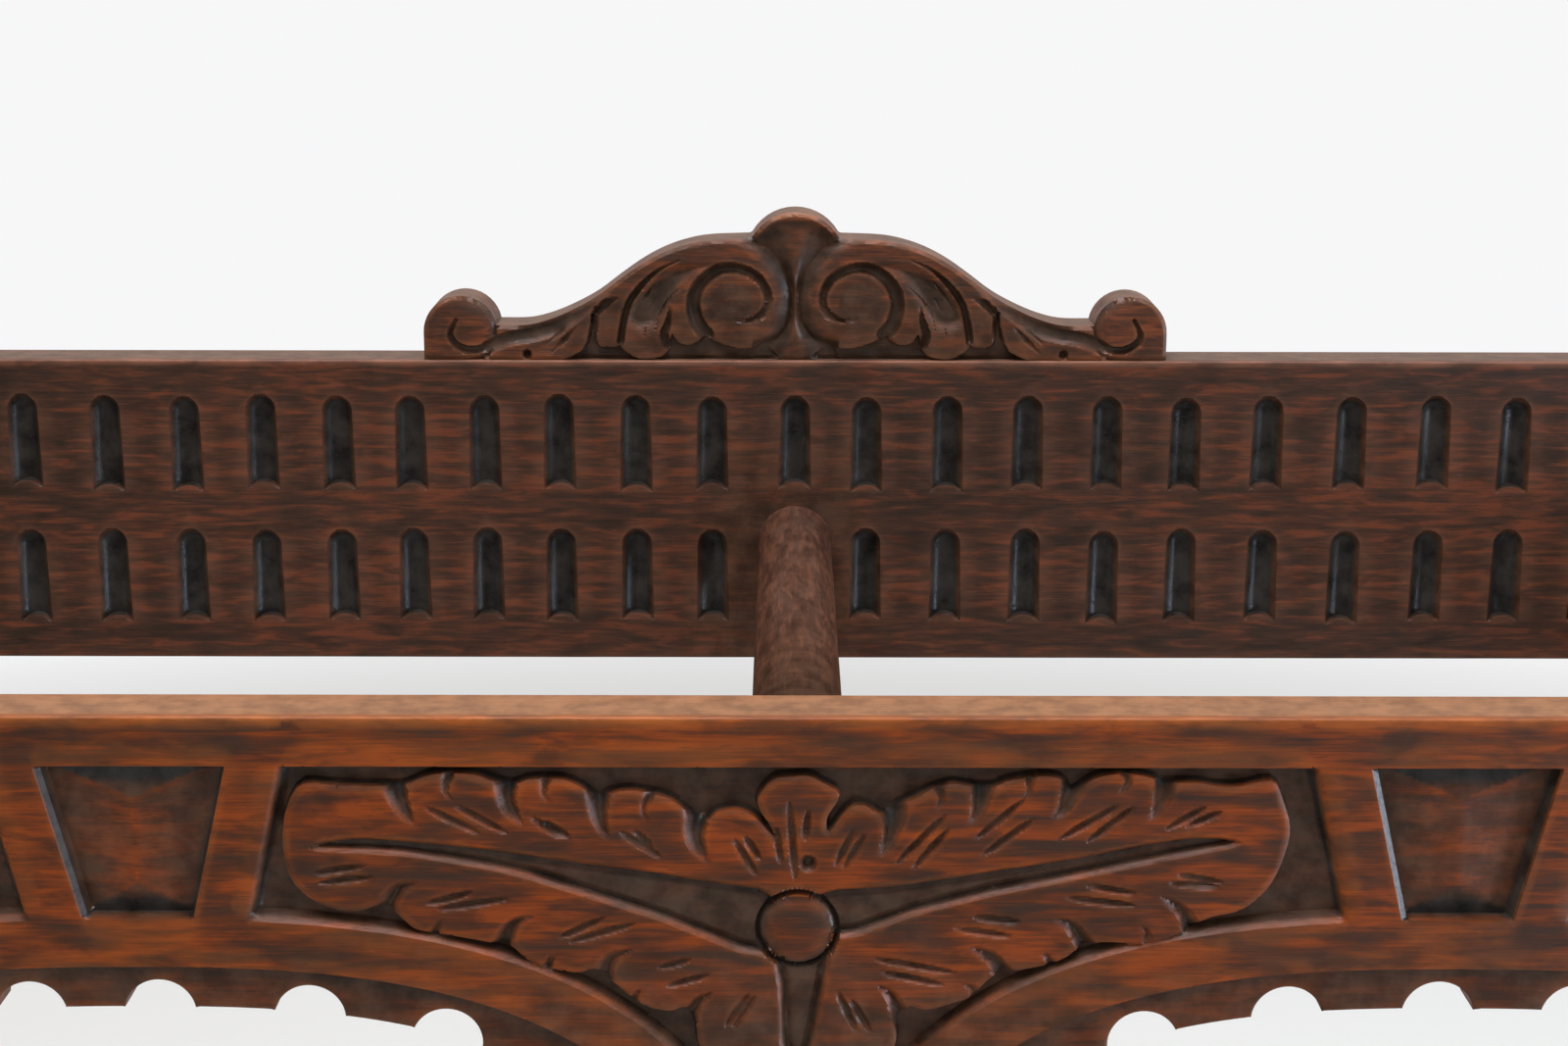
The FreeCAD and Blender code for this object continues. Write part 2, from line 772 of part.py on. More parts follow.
# ---- crest ----
def crest_dowel(side, radius):
    """A dowel that stands half in the back rail and half in the crest."""
    x = side * crest_dowel_x
    half = crest_dowel_length / 2
    return rod(radius, V(x, rail_mid_y, back_top - half), V(x, rail_mid_y, back_top + half))


def crest():
    """The pediment: a round cap in the middle, falling to a volute at each end."""
    z = back_top
    knob_half, knob_z = 14.0, z + 0.87 * crest_height
    end_r = 13.2
    end_x, end_z = crest_half_length - end_r, z + 9.3
    slope_start, slope_end = knob_half + 0.8, end_x - 12.0
    # shares of the slope's run and of the crest's height
    slope = [
        (0.00, 0.860),
        (0.15, 0.832),
        (0.28, 0.776),
        (0.42, 0.675),
        (0.55, 0.545),
        (0.68, 0.423),
        (0.81, 0.331),
        (1.00, 0.294),
    ]
    slope = [
        (slope_start + run * (slope_end - slope_start), z + rise * crest_height)
        for run, rise in slope
    ]
    join = V(slope_end, 0, end_z + math.sqrt(end_r**2 - (end_x - slope_end) ** 2))
    right = [
        Part.makeLine(V(knob_half, 0, knob_z), V(slope[0][0], 0, slope[0][1])),
        spline(slope),
        Part.makeLine(V(slope[-1][0], 0, slope[-1][1]), join),
        Part.Arc(
            join, V(end_x, 0, end_z + end_r), V(crest_half_length, 0, end_z)
        ).toShape(),
        Part.makeLine(V(crest_half_length, 0, end_z), V(crest_half_length, 0, z)),
    ]
    left = [mirrored_x(e) for e in right]
    knob = arc(-knob_half, knob_z, 0, z + crest_height, knob_half, knob_z)
    base = Part.makeLine(V(-crest_half_length, 0, z), V(crest_half_length, 0, z))
    body = prism([knob, base] + right + left, rail_inner_y, rail_thickness)
    grooves = []
    for centre_x, centre_z, eye, width in (
        (24.1, z + 21.5, 9.9, 3.0),
        (end_x - 2.5, z + 8.2, 5.2, 2.2),
    ):
        front = V(centre_x, rail_inner_y - 1.0, centre_z)
        floor = V(centre_x, rail_inner_y + crest_groove_depth, centre_z)
        ring = rod(eye + width, front, floor).cut(rod(eye, front, floor))
        below = box(
            centre_x - 40, centre_x + 40, rail_inner_y - 2, rail_outer_y, z - 40, centre_z
        )
        grooves += both_sides(ring.cut(below))
    sockets = [crest_dowel(s, hole_radius(dowel_radius)) for s in (-1, 1)]
    return body.cut(grooves + sockets)


# ---- base ----
def screw(start, direction, radius_extra=0.0):
    """A countersunk wood screw, from the middle of its head's flat face."""
    head_height = screw_head_radius - screw_radius
    along = V(direction).normalize()
    shank = rod(screw_radius + radius_extra, start, start + along * screw_length)
    head = Part.makeCone(
        screw_head_radius + radius_extra,
        screw_radius + radius_extra,
        head_height + radius_extra,
        start,
        along,
    )
    return shank.fuse(head)


def cleat_screws(radius_extra=0.0):
    """The screws that hold the cleats to the base rails."""
    z = base_bottom + cleat_height / 2
    reach = cleat_reach - screw_end_inset
    long_places = [-reach, -reach / 3, reach / 3, reach]
    found = []
    for y_sign in (-1, 1):
        for x in long_places:
            start = V(x, y_sign * (rail_inner_y - cleat_depth), z)
            found.append(screw(start, V(0, y_sign, 0), radius_extra))
    for x_sign in (-1, 1):
        for y in (-inner_y / 2, inner_y / 2):
            start = V(x_sign * (side_inner_x - cleat_depth), y, z)
            found.append(screw(start, V(x_sign, 0, 0), radius_extra))
    return found


def cleats():
    """The four battens that carry the bottom boards: front, back, left and right."""
    z0, z1 = base_bottom, base_bottom + cleat_height
    back = box(-cleat_reach, cleat_reach, rail_inner_y - cleat_depth, rail_inner_y, z0, z1)
    side_reach = inner_y - cleat_post_gap
    right = box(side_inner_x - cleat_depth, side_inner_x, -side_reach, side_reach, z0, z1)
    holes = cleat_screws(joint_clearance)
    pieces = {
        "cleat_front": flip_y(back),
        "cleat_back": back,
        "cleat_left": mirrored_x(right),
        "cleat_right": right,
    }
    for name, piece in pieces.items():
        save(name, drilled(piece, holes))


def bottom_board():
    """The right-hand bottom board, notched round the posts."""
    z0 = board_top - base_board_thickness
    inside = rail_inner_y
    board = box(0, side_inner_x, -inside, inside, z0, board_top)
    gap = board_post_gap
    corner = box(inner_x - gap, half_width, inner_y - gap, half_depth, z0 - 1, board_top + 1)
    return board.cut([corner, flip_y(corner)])


def base_long_rail(y_sign):
    """A lower rail between two posts; the front one is fluted and carries the column."""
    y0, y1 = sorted((y_sign * rail_inner_y, y_sign * rail_outer_y))
    body = box(-inner_x, inner_x, y0, y1, base_bottom, base_top)
    cuts = [stretcher_tenon(y_sign, joint_clearance)] + cleat_screws(joint_clearance)
    if y_sign < 0:
        flute_top = base_top - base_flute_margin
        cuts += flute_row(inner_x, flute_top, base_flute_length, y0)
        cuts.append(column_dowel_bottom(hole_radius(column_dowel_radius)))
    return long_rail(body.cut(cuts), base_joint, y_sign * rail_mid_y, y_sign)


def base_side_rail():
    """The right-hand lower side rail, with a short row of flutes."""
    face = -side_outer_x
    body = box(-inner_y, inner_y, face, face + rail_thickness, base_bottom, base_top)
    flute_top = base_top - base_flute_margin
    board = body.cut(flute_row(inner_y, flute_top, base_flute_length, face))
    board.rotate(V(0, 0, 0), V(0, 0, 1), 90)
    return side_rail(board.cut(cleat_screws(joint_clearance)), base_joint)


def stretcher_tenon(y_sign, clearance=0.0):
    """The stub tenon at one end of the base stretcher."""
    half = stretcher_width / 4 + clearance
    z0 = board_top + stretcher_tenon_lift - clearance
    z1 = base_top - column_dowel_bury - dowel_tenon_gap + clearance
    reach = rail_inner_y + divider_tenon_length + clearance
    y0, y1 = sorted((y_sign * rail_inner_y, y_sign * reach))
    return box(-half, half, y0, y1, z0, z1)


def base_stretcher():
    """The rail between the two trays, under the divider bar."""
    half = stretcher_width / 2
    body = box(-half, half, -rail_inner_y, rail_inner_y, board_top, base_top)
    return fuse([body, stretcher_tenon(-1), stretcher_tenon(1)])


# ---- middle column ----
def column_dowel_bottom(radius):
    """The dowel between the base rail and the column."""
    y, bury = -rail_mid_y, column_dowel_bury
    return rod(radius, V(0, y, base_top - bury), V(0, y, base_top + bury))


def column_dowel_top(radius):
    """The dowel from the column through its capital into the pendant."""
    y = -rail_mid_y
    low = front_spring - capital_height - neck_dowel_bury
    return rod(radius, V(0, y, low), V(0, y, front_spring + pendant_dowel_bury))


def column_dowel_hole_top():
    return column_dowel_top(hole_radius(column_dowel_radius))


def column():
    """The turned column under the pendant, on the front base rail."""
    z0 = base_top + column_block_height
    z1 = front_spring - capital_height - neck_block_height
    pieces = [
        block(0, column_y, column_size, base_top, z0),
        turned(baluster(z0, z1, column_turning_radius), 0, column_y),
        block(0, column_y, column_size, z1, front_spring - capital_height),
    ]
    holes = [
        column_dowel_bottom(hole_radius(column_dowel_radius)),
        column_dowel_hole_top(),
    ]
    return drilled(fuse(pieces), holes)


def capital():
    """The block that spreads the column's head to the pendant's width."""
    half_x = pendant_half_width + band_width + capital_overhang
    half_y = column_size / 2
    z0, z1 = front_spring - capital_height, front_spring
    body = box(-half_x, half_x, column_y - half_y, column_y + half_y, z0, z1)
    ends = [
        e
        for e in body.Edges
        if abs(e.tangentAt(e.FirstParameter).y) > 0.9 and e.CenterOfMass.z < z0 + 1
    ]
    return drilled(body.makeChamfer(capital_chamfer, ends), [column_dowel_hole_top()])


# ---- drip tray ----
def rounded_box(x0, x1, y0, y1, z0, z1, radius):
    """A box whose upright edges are rounded."""
    body = box(x0, x1, y0, y1, z0, z1)
    upright = [e for e in body.Edges if abs(e.tangentAt(e.FirstParameter).z) > 0.9]
    return body.makeFillet(radius, upright)


def drip_tray():
    """The right-hand sheet-metal tray, which stands loose on the bottom board."""
    x0 = max(stretcher_width, column_size) / 2 + tray_clearance
    x1 = inner_x - tray_clearance
    y1 = rail_inner_y - tray_clearance
    z0 = board_top + tray_seat_gap
    z1 = z0 + tray_height
    rim, wall, corner = tray_rim, tray_wall, tray_corner_radius
    outer = rounded_box(x0 + rim, x1 - rim, -y1 + rim, y1 - rim, z0, z1, corner - rim)
    edge = rounded_box(x0, x1, -y1, y1, z1 - rim, z1, corner)
    lip = [
        e for e in edge.Edges if abs(e.tangentAt(e.FirstParameter).z) < 0.1
    ]
    edge = edge.makeFillet(rim * 0.45, lip)
    inset = rim + wall
    hollow = rounded_box(
        x0 + inset, x1 - inset, -y1 + inset, y1 - inset, z0 + wall, z1 + 1, corner - inset
    )
    return outer.fuse(edge).cut(hollow).removeSplitter()


# ---- write every piece ----
save("front_rail", front_rail())
save("back_rail", back_rail())
save("crest", crest())
save("crest_dowels", Part.makeCompound([crest_dowel(s, dowel_radius) for s in (-1, 1)]))
save("divider_bar", divider_bar())
save("base_front_rail", base_long_rail(-1))
save("base_back_rail", base_long_rail(1))
save("base_stretcher", base_stretcher())
save("column", column())
save("column_capital", capital())
save(
    "column_dowels",
    Part.makeCompound(
        [column_dowel_bottom(column_dowel_radius), column_dowel_top(column_dowel_radius)]
    ),
)
cleats()
save("cleat_screws", Part.makeCompound(cleat_screws()))
save_pegs()

right_hand_pieces = {
    "front_post": post(-1, front_top),
    "rear_post": post(1, back_top),
    "side_rail": top_side_rail(),
    "base_side_rail": base_side_rail(),
    "bottom_board": bottom_board(),
    "drip_tray": drip_tray(),
}
for name, piece in right_hand_pieces.items():
    save(name + "_right", piece)
    save(name + "_left", mirrored_x(piece))
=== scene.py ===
"""The looks of the carved oak stick stand: carved boards, turned posts, waxed oak and tray metal.

Blender's own unit here is the metre. The carving is drawn in millimetres on flat boards, and
each board's place comes from the frame. On a board, x runs along it, z is measured from its top
edge (so it is negative) or, on the crest, from its foot, and depth goes into the wood.
"""

import bmesh
import bpy
import math
import numpy as np
from mathutils import Matrix, Vector
from mathutils.geometry import delaunay_2d_cdt


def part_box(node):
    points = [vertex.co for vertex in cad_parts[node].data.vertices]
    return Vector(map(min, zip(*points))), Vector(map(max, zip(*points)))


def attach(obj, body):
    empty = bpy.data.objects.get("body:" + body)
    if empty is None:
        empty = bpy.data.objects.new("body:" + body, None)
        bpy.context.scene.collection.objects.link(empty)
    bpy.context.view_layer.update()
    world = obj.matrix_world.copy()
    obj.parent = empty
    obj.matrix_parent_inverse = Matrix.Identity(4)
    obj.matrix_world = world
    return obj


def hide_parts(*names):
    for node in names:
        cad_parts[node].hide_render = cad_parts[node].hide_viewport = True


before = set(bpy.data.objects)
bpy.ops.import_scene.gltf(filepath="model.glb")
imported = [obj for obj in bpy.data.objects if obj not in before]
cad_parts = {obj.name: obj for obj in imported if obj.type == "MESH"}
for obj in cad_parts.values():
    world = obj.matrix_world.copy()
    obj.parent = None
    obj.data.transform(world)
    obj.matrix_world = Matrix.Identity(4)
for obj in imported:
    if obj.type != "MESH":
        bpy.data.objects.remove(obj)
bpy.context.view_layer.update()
MM = 0.001
SHARP = math.radians(32)  # faces that meet at more than this are shaded with a sharp edge
random = np.random.default_rng(7)


# ---- camera ----
CAMERA_PLACE, CAMERA_TILT, CAMERA_ROLL, LENS = (-0.0035, -0.715, 0.802), 76.4, 0.1, 58.95


def add_camera():
    """A long lens, a little above the stand and near its middle, looking slightly down."""
    data = bpy.data.cameras.new("camera")
    data.sensor_width = 36
    data.lens = LENS
    data.clip_start = 0.02
    camera = bpy.data.objects.new("camera", data)
    bpy.context.scene.collection.objects.link(camera)
    tilt = Matrix.Rotation(math.radians(CAMERA_TILT), 4, "X")
    roll = Matrix.Rotation(math.radians(CAMERA_ROLL), 4, "Z")
    camera.matrix_world = Matrix.Translation(CAMERA_PLACE) @ tilt @ roll
    bpy.context.scene.camera = camera


add_camera()
bpy.context.scene.view_settings.view_transform = "Standard"


# ---- numbers and outlines ----
def smooth_step(value, low, high):
    """0 below low, 1 above high, and a smooth rise between."""
    t = np.clip((value - low) / (high - low), 0, 1)
    return t * t * (3 - 2 * t)


def smooth_run(points, closed=False, pieces=4):
    """A rounder run through the same points, with this many pieces between each two."""
    p = np.array(points, float)
    if closed:
        before, start, end, after = np.roll(p, 1, 0), p, np.roll(p, -1, 0), np.roll(p, -2, 0)
    else:
        q = np.vstack([2 * p[0] - p[1], p, 2 * p[-1] - p[-2]])
        before, start, end, after = q[:-3], q[1:-2], q[2:-1], q[3:]
    rows = []
    for t in np.arange(pieces) / pieces:
        rows.append(
            start
            + 0.5 * t * (end - before)
            + t**2 * (before - 2.5 * start + 2 * end - 0.5 * after)
            + t**3 * 0.5 * (after - before + 3 * (start - end))
        )
    found = np.stack(rows, 1).reshape(-1, 2)
    return found if closed else np.vstack([found, p[-1:]])


def circle(radius, count=60):
    """Points round a circle, the last one on the first."""
    turn = np.linspace(0, 2 * math.pi, count)
    return np.stack([np.cos(turn), np.sin(turn)], 1) * radius


def evenly(points, spacing, closed=False):
    """A run's own points, with more between them at about this spacing."""
    p = np.array(points, float)
    if closed:
        p = np.vstack([p, p[:1]])
    rows = []
    for a, b in zip(p, p[1:]):
        count = max(1, round(float(np.hypot(*(b - a))) / spacing))
        rows.append(a + (b - a) * (np.arange(count) / count)[:, None])
    if not closed:
        rows.append(p[-1:])
    return np.vstack(rows)


def beside(points, offset, closed=False):
    """A run moved sideways, to its left for a positive offset."""
    p = np.array(points, float)
    if closed:
        along = np.roll(p, -1, 0) - np.roll(p, 1, 0)
    else:
        along = np.gradient(p, axis=0)
    along /= np.maximum(np.hypot(along[:, 0], along[:, 1]), 1e-9)[:, None]
    return p + offset * np.stack([-along[:, 1], along[:, 0]], 1)


def segment_distance(points, a, b):
    """Points' distance from one straight piece, their share of its length, and their side of it."""
    run = b - a
    share = np.clip(((points - a) @ run) / max(run @ run, 1e-12), 0, 1)
    away = points - a - share[:, None] * run
    return np.hypot(away[:, 0], away[:, 1]), share, run[0] * away[:, 1] - run[1] * away[:, 0]


def inside(points, outline):
    """Which points lie within a closed outline."""
    found = np.zeros(len(points), bool)
    order = np.argsort(points[:, 1], kind="stable")
    height = points[order, 1]
    for a, b in zip(outline, np.roll(outline, -1, 0)):
        low, high = sorted((a[1], b[1]))
        near = order[np.searchsorted(height, low) : np.searchsorted(height, high)]
        if len(near):
            cross = a[0] + (points[near, 1] - a[1]) * (b[0] - a[0]) / (b[1] - a[1])
            found[near] ^= points[near, 0] < cross
    return found


def signed_distance(points, outline, reach):
    """How deep points lie within a closed outline, negative outside, and true up to reach."""
    distance = np.full(len(points), float(reach))
    order = np.argsort(points[:, 0], kind="stable")
    place = points[order, 0]
    for a, b in zip(outline, np.roll(outline, -1, 0)):
        low, high = min(a[0], b[0]) - reach, max(a[0], b[0]) + reach
        near = order[np.searchsorted(place, low) : np.searchsorted(place, high)]
        distance[near] = np.minimum(distance[near], segment_distance(points[near], a, b)[0])
    return np.where(inside(points, outline), distance, -distance)


def run_distance(points, run):
    """For points near a run: their distance, their share of its length, and their side of it."""
    lengths = np.hypot(*np.diff(run, axis=0).T)
    total, gone = lengths.sum(), 0.0
    distance = np.full(len(points), np.inf)
    share, side = np.zeros(len(points)), np.zeros(len(points))
    for a, b, length in zip(run, run[1:], lengths):
        found, part, cross = segment_distance(points, a, b)
        nearer = found < distance
        distance = np.where(nearer, found, distance)
        share = np.where(nearer, (gone + part * length) / total, share)
        side = np.where(nearer, np.sign(cross), side)
        gone += length
    return distance, share, side


def near_run(points, run, reach):
    """Which points lie within reach of a run's box."""
    low, high = run.min(0) - reach, run.max(0) + reach
    return np.flatnonzero(((points > low) & (points < high)).all(1))


RIPPLE_WAVES = 7


def ripple(points, size, seed):
    """A smooth unevenness, between about -1 and 1, whose waves are about this long."""
    draw = np.random.default_rng(seed)
    total = np.zeros(len(points))
    for _ in range(RIPPLE_WAVES):
        turn, phase = draw.uniform(0, 2 * math.pi, 2)
        wave = 2 * math.pi / (size * draw.uniform(0.7, 1.6))
        total += np.sin(wave * (points @ [math.cos(turn), math.sin(turn)]) + phase)
    return total / (RIPPLE_WAVES / 2)


# ---- carving strokes ----
FLUTE_TAPER, FLUTE_STOP = 0.6, 6.5  # a flute narrows upward; its stop is an arc of this radius
SCOOP_FLOOR, SCOOP_WALL = 0.3, 0.34  # shares of a scoop's width to its deepest line and its wall
VEIN_WIDE, VEIN_DEEP = 1.9, 1.3


def scoop(depth, points, run, width, deep, side):
    """A gouge's cut beside a steep wall that follows the run; it runs out at the run's end.

    side is 1 where the wall is on the run's left and the hollow on its right, or else -1.
    """
    run = smooth_run(run)
    near = near_run(points, run, width + 1)
    distance, share, at_side = run_distance(points[near], run)
    fade = np.clip(1 - share, 0, 1) ** 0.6
    across = -distance * at_side * side / (width * fade + 0.1)
    rise = np.clip((across - SCOOP_FLOOR) / (1 - SCOOP_FLOOR), 0, 1)
    wall = np.clip((SCOOP_FLOOR - across) / SCOOP_WALL, 0, 1)
    section = np.where(across > SCOOP_FLOOR, 1 - rise**1.3, np.sqrt(1 - wall**2))
    depth[near] = np.maximum(depth[near], deep * fade * section)


def vein(depth, points, start, end):
    """A short round-bottomed line, thin at both ends."""
    run = np.array([start, end], float)
    near = near_run(points, run, VEIN_WIDE)
    distance, share, _ = run_distance(points[near], run)
    swell = np.clip(4.5 * share * (1 - share), 0, 1) ** 0.5
    section = np.clip(1 - (distance / (VEIN_WIDE / 2 * swell + 0.12)) ** 2, 0, 1)
    depth[near] += VEIN_DEEP * swell * section


def channel(depth, points, run, width, deep, lean=0.0):
    """A hollow line whose width and depth are given at its start, middle and end.

    lean, from -1 to 1, moves its deepest line to its right or left and steepens that wall.
    """
    run = smooth_run(run)
    near = near_run(points, run, max(width) + 0.5)
    distance, share, side = run_distance(points[near], run)
    half = np.interp(share, (0, 0.5, 1), width) / 2
    here = np.interp(share, (0, 0.5, 1), deep)
    across = distance * side / half - lean
    across = np.where(across > 0, across / (1 - lean), across / (1 + lean))
    section = np.sqrt(np.clip(1 - across**2, 0, 1))
    past_end = (distance > half) & ((share <= 0) | (share >= 1))
    depth[near] = np.maximum(depth[near], np.where(past_end, 0, here * section))


def flute(depth, points, x, top, length, width, deep):
    """One gouge cut, round at its top and stopped at its bottom by an upward-curving chop."""
    near = np.flatnonzero(np.abs(points[:, 0] - x) < width / 2 + 1)
    p = points[near] - [x, 0]
    bottom = top - length
    half = width / 2 - FLUTE_TAPER * (p[:, 1] - bottom) / length
    radius = (half**2 + deep**2) / (2 * deep)
    above = np.maximum(p[:, 1] - (top - width / 2), 0)
    reach = np.hypot(p[:, 0], above)
    cut = np.sqrt(np.clip(radius**2 - reach**2, 0, None)) - (radius - deep)
    centre = bottom - math.sqrt(FLUTE_STOP**2 - (width / 2) ** 2)
    chop = np.hypot(p[:, 0], p[:, 1] - centre) - FLUTE_STOP
    cut *= smooth_step(chop, 0, 0.7)
    within = (p[:, 1] < top) & (p[:, 1] > bottom)
    depth[near] = np.maximum(depth[near], np.where(within, cut, 0))


# ---- arches ----
ARCH_POWER, ARCH_STEPS = 2.6, 300
NOTCH_R, NOTCH_SUNK, NOTCH_POINTS = 9.0, 1.8, 25  # half-round, their centres just below the line


def arch_line(centre, spring, half, rise):
    """An arch from its left foot over its crown to its right foot."""
    angle = math.pi * (1 - np.arange(ARCH_STEPS + 1) / ARCH_STEPS)
    share = 2 / ARCH_POWER
    x = np.abs(np.cos(angle)) ** share * np.sign(np.cos(angle)) * half
    return np.stack([centre + x, spring + np.abs(np.sin(angle)) ** share * rise], 1)


def scalloped(line, offsets):
    """The same line with half-round notches cut above it, at distances from its middle."""
    steps = np.hypot(*np.diff(line, axis=0).T)
    along = np.concatenate([[0], np.cumsum(steps)]) - steps.sum() / 2
    keep = [True] * len(line)
    pieces = []
    for offset in offsets:
        x, z = (np.interp(offset, along, line[:, i]) for i in (0, 1))
        x2, z2 = (np.interp(offset + 0.5, along, line[:, i]) for i in (0, 1))
        run = np.array([x2 - x, z2 - z])
        run /= np.hypot(*run)
        up = np.array([-run[1], run[0]])
        centre = np.array([x, z]) - up * NOTCH_SUNK
        away = np.hypot(*(line - centre).T)
        hit = np.flatnonzero(away < NOTCH_R)
        for i in hit:
            keep[i] = False
        first = line[max(hit[0] - 1, 0)] - centre
        last = line[min(hit[-1] + 1, len(line) - 1)] - centre
        start = math.atan2(first @ up, first @ run)
        end = math.atan2(last @ up, last @ run)
        turn = np.linspace(start, end, NOTCH_POINTS)[:, None]
        arc = centre + NOTCH_R * (np.cos(turn) * run + np.sin(turn) * up)
        pieces.append((along[hit[0]], arc))
    found = [(a, p[None]) for a, p, k in zip(along, line, keep) if k]
    found = sorted(found + pieces, key=lambda item: item[0])
    return np.vstack([p for _, p in found])


# ---- meshes ----
def new_object(name, vertices, faces):
    """A closed mesh object from points in millimetres, its faces turned outward."""
    mesh = bpy.data.meshes.new(name)
    mesh.from_pydata((np.asarray(vertices) * MM).tolist(), [], faces)
    mesh.validate()
    mesh.shade_smooth()
    work = bmesh.new()
    work.from_mesh(mesh)
    bmesh.ops.recalc_face_normals(work, faces=work.faces)
    work.to_mesh(mesh)
    work.free()
    mesh.set_sharp_from_angle(angle=SHARP)
    piece = bpy.data.objects.new(name, mesh)
    bpy.context.scene.collection.objects.link(piece)
    return piece


OWN_WEIGHT, FAR_WEIGHT, SMOOTHINGS = 0.3, 0.02, 6


def read_values(items, label, size, kind=float):
    """One value or vector of every vertex or edge."""
    found = np.empty(len(items) * size, kind)
    items.foreach_get(label, found)
    return found.reshape(-1, size)


def mark_surface(piece, stain_and_shade=None, wear_and_highlight=None, carved=None):
    """Stores where the surface is hollow and dark, from patina and painted shade, and where it is
    an edge, painted paler as wear and as a highlight.

    A point is hollow or proud by how far it lies from the smoothed places of its neighbours.
    """
    mesh = piece.data
    count = len(mesh.vertices)
    place = read_values(mesh.vertices, "co", 3)
    normal = read_values(mesh.vertices, "normal", 3)
    a, b = read_values(mesh.edges, "vertices", 2, int).T
    length = np.linalg.norm(place[a] - place[b], axis=1)
    weight = np.where(length < 4 * MM, 1.0, FAR_WEIGHT)
    total = np.bincount(a, weight, count) + np.bincount(b, weight, count) + OWN_WEIGHT
    smooth = place.copy()
    for _ in range(SMOOTHINGS):
        summed = OWN_WEIGHT * smooth
        for i in range(3):
            summed[:, i] += np.bincount(a, weight * smooth[b, i], count)
            summed[:, i] += np.bincount(b, weight * smooth[a, i], count)
        smooth = summed / total[:, None]
    proud = ((place - smooth) * normal).sum(1) / MM
    hollow = smooth_step(-proud, 0.06, 0.6)
    edge = smooth_step(proud, 0.05, 0.4)
    if stain_and_shade is not None:
        # the given darkness holds stains and painted shade; the given edge paleness holds wear and
        # a painted highlight
        hollow = np.maximum(hollow * 0.8, stain_and_shade)
        edge = np.maximum(edge * 0.22, wear_and_highlight)
    if carved is None:
        carved = np.zeros(count)
    for label, values in (("hollow", hollow), ("edge", edge), ("carved", carved)):
        attribute = mesh.attributes.get(label) or mesh.attributes.new(label, "FLOAT", "POINT")
        attribute.data.foreach_set("value", values.astype(np.float32))


def hex_grid(low, high, spacing):
    """Points on a triangular grid within a box."""
    rows = np.arange(low[1], high[1], spacing * math.sqrt(0.75))
    columns = np.arange(low[0], high[0], spacing)
    x, z = np.meshgrid(columns, rows)
    x = x + (np.arange(len(rows)) % 2)[:, None] * spacing / 2
    return np.stack([x.ravel(), z.ravel()], 1)


def thinned(points, spacing):
    """The points without those that share a small cell with an earlier one."""
    cells = np.round(points / spacing).astype(int)
    _, first = np.unique(cells, axis=0, return_index=True)
    return points[np.sort(first)]


def clear_of(points, others, distance):
    """The points that have none of the others within about this distance."""
    taken = set()
    cells = np.floor(others / distance).astype(int)
    for dx in (-1, 0, 1):
        for dz in (-1, 0, 1):
            taken.update(map(tuple, cells + [dx, dz]))
    own = np.floor(points / distance).astype(int)
    keep = [tuple(cell) not in taken for cell in own]
    return points[np.array(keep, bool)]


ARRIS = 0.8  # radius of the boards' softened edges
EDGE_STEP, ROW_STEP, PLAIN_STEP, BACK_STEP = 1.1, 0.75, 2.3, 11  # spacings of a board's points
# edges are painted paler, partly as wear and partly as a painted highlight
OTHER_EDGE_WEAR_AND_HIGHLIGHT = 0.3  # how worn a board's other edges are, beside its top one
SIDE_SHARES = (0.12, 0.5, 0.88)  # where a board's sides have points, from its front to its back


def stained(depth, most=0.85):
    """How dark old wax and dirt have made the surface at a depth, with painted shadow added deep in
    the narrow cuts.
    """
    # painted shadow: the cuts' steep walls between about 2.4 and 4 mm deep are darkened further
    cuts = smooth_step(depth, 2.4, 3.0) * (1 - smooth_step(depth, 3.7, 4.0))
    return most * smooth_step(depth, 0.3, 1.7) + (1 - most) * cuts


def arris_drop(distance):
    """How far a softened edge has dropped, at a distance inside the board's outline."""
    inner = np.clip(ARRIS - distance, 0, ARRIS)
    return ARRIS - np.sqrt(ARRIS**2 - inner**2)


def triangulate(loop, inner):
    """Triangles over a closed loop with more points inside it."""
    count = len(loop)
    everything = [Vector(p) for p in np.vstack([loop, inner])]
    ring = [(i, (i + 1) % count) for i in range(count)]
    points, _, faces, _, _, _ = delaunay_2d_cdt(everything, ring, [], 1, 1e-5)
    return np.array(points), np.array(faces)


def face_points(loop, rows, areas):
    """Points within a board's outline: along its edge, along the rows, then in each area."""
    insets = [beside(loop, d, True) for d in (0.16, 0.4, ARRIS)]
    rings = thinned(np.vstack(insets), 0.12)
    rings = rings[inside(rings, loop)]
    lines = [evenly(run, ROW_STEP) for run in rows]
    lines = clear_of(thinned(np.vstack(lines), 0.22), rings, 0.22)
    held = np.vstack([rings, lines[inside(lines, loop)]])
    taken = []
    for test, step in areas + [(None, PLAIN_STEP)]:
        grid = hex_grid(loop.min(0), loop.max(0), step)
        for earlier in taken:
            grid = grid[~earlier(grid)]
        if test:
            grid = grid[test(grid)]
            taken.append(test)
        grid = grid[signed_distance(grid, loop, 3) > ARRIS + 0.2]
        held = np.vstack([held, clear_of(grid, held, step * 0.5)])
    return held


def plain_back(loop):
    """A board's back: its points, its triangles and how far each point is from the outline."""
    ring = thinned(beside(loop, ARRIS, True), 0.8)
    ring = ring[inside(ring, loop)]
    grid = hex_grid(loop.min(0) + 4, loop.max(0) - 4, BACK_STEP)
    grid = grid[signed_distance(grid, loop, 5) > 3]
    back, triangles = triangulate(loop, np.vstack([ring, grid]))
    return back, triangles, np.abs(signed_distance(back, loop, 2))


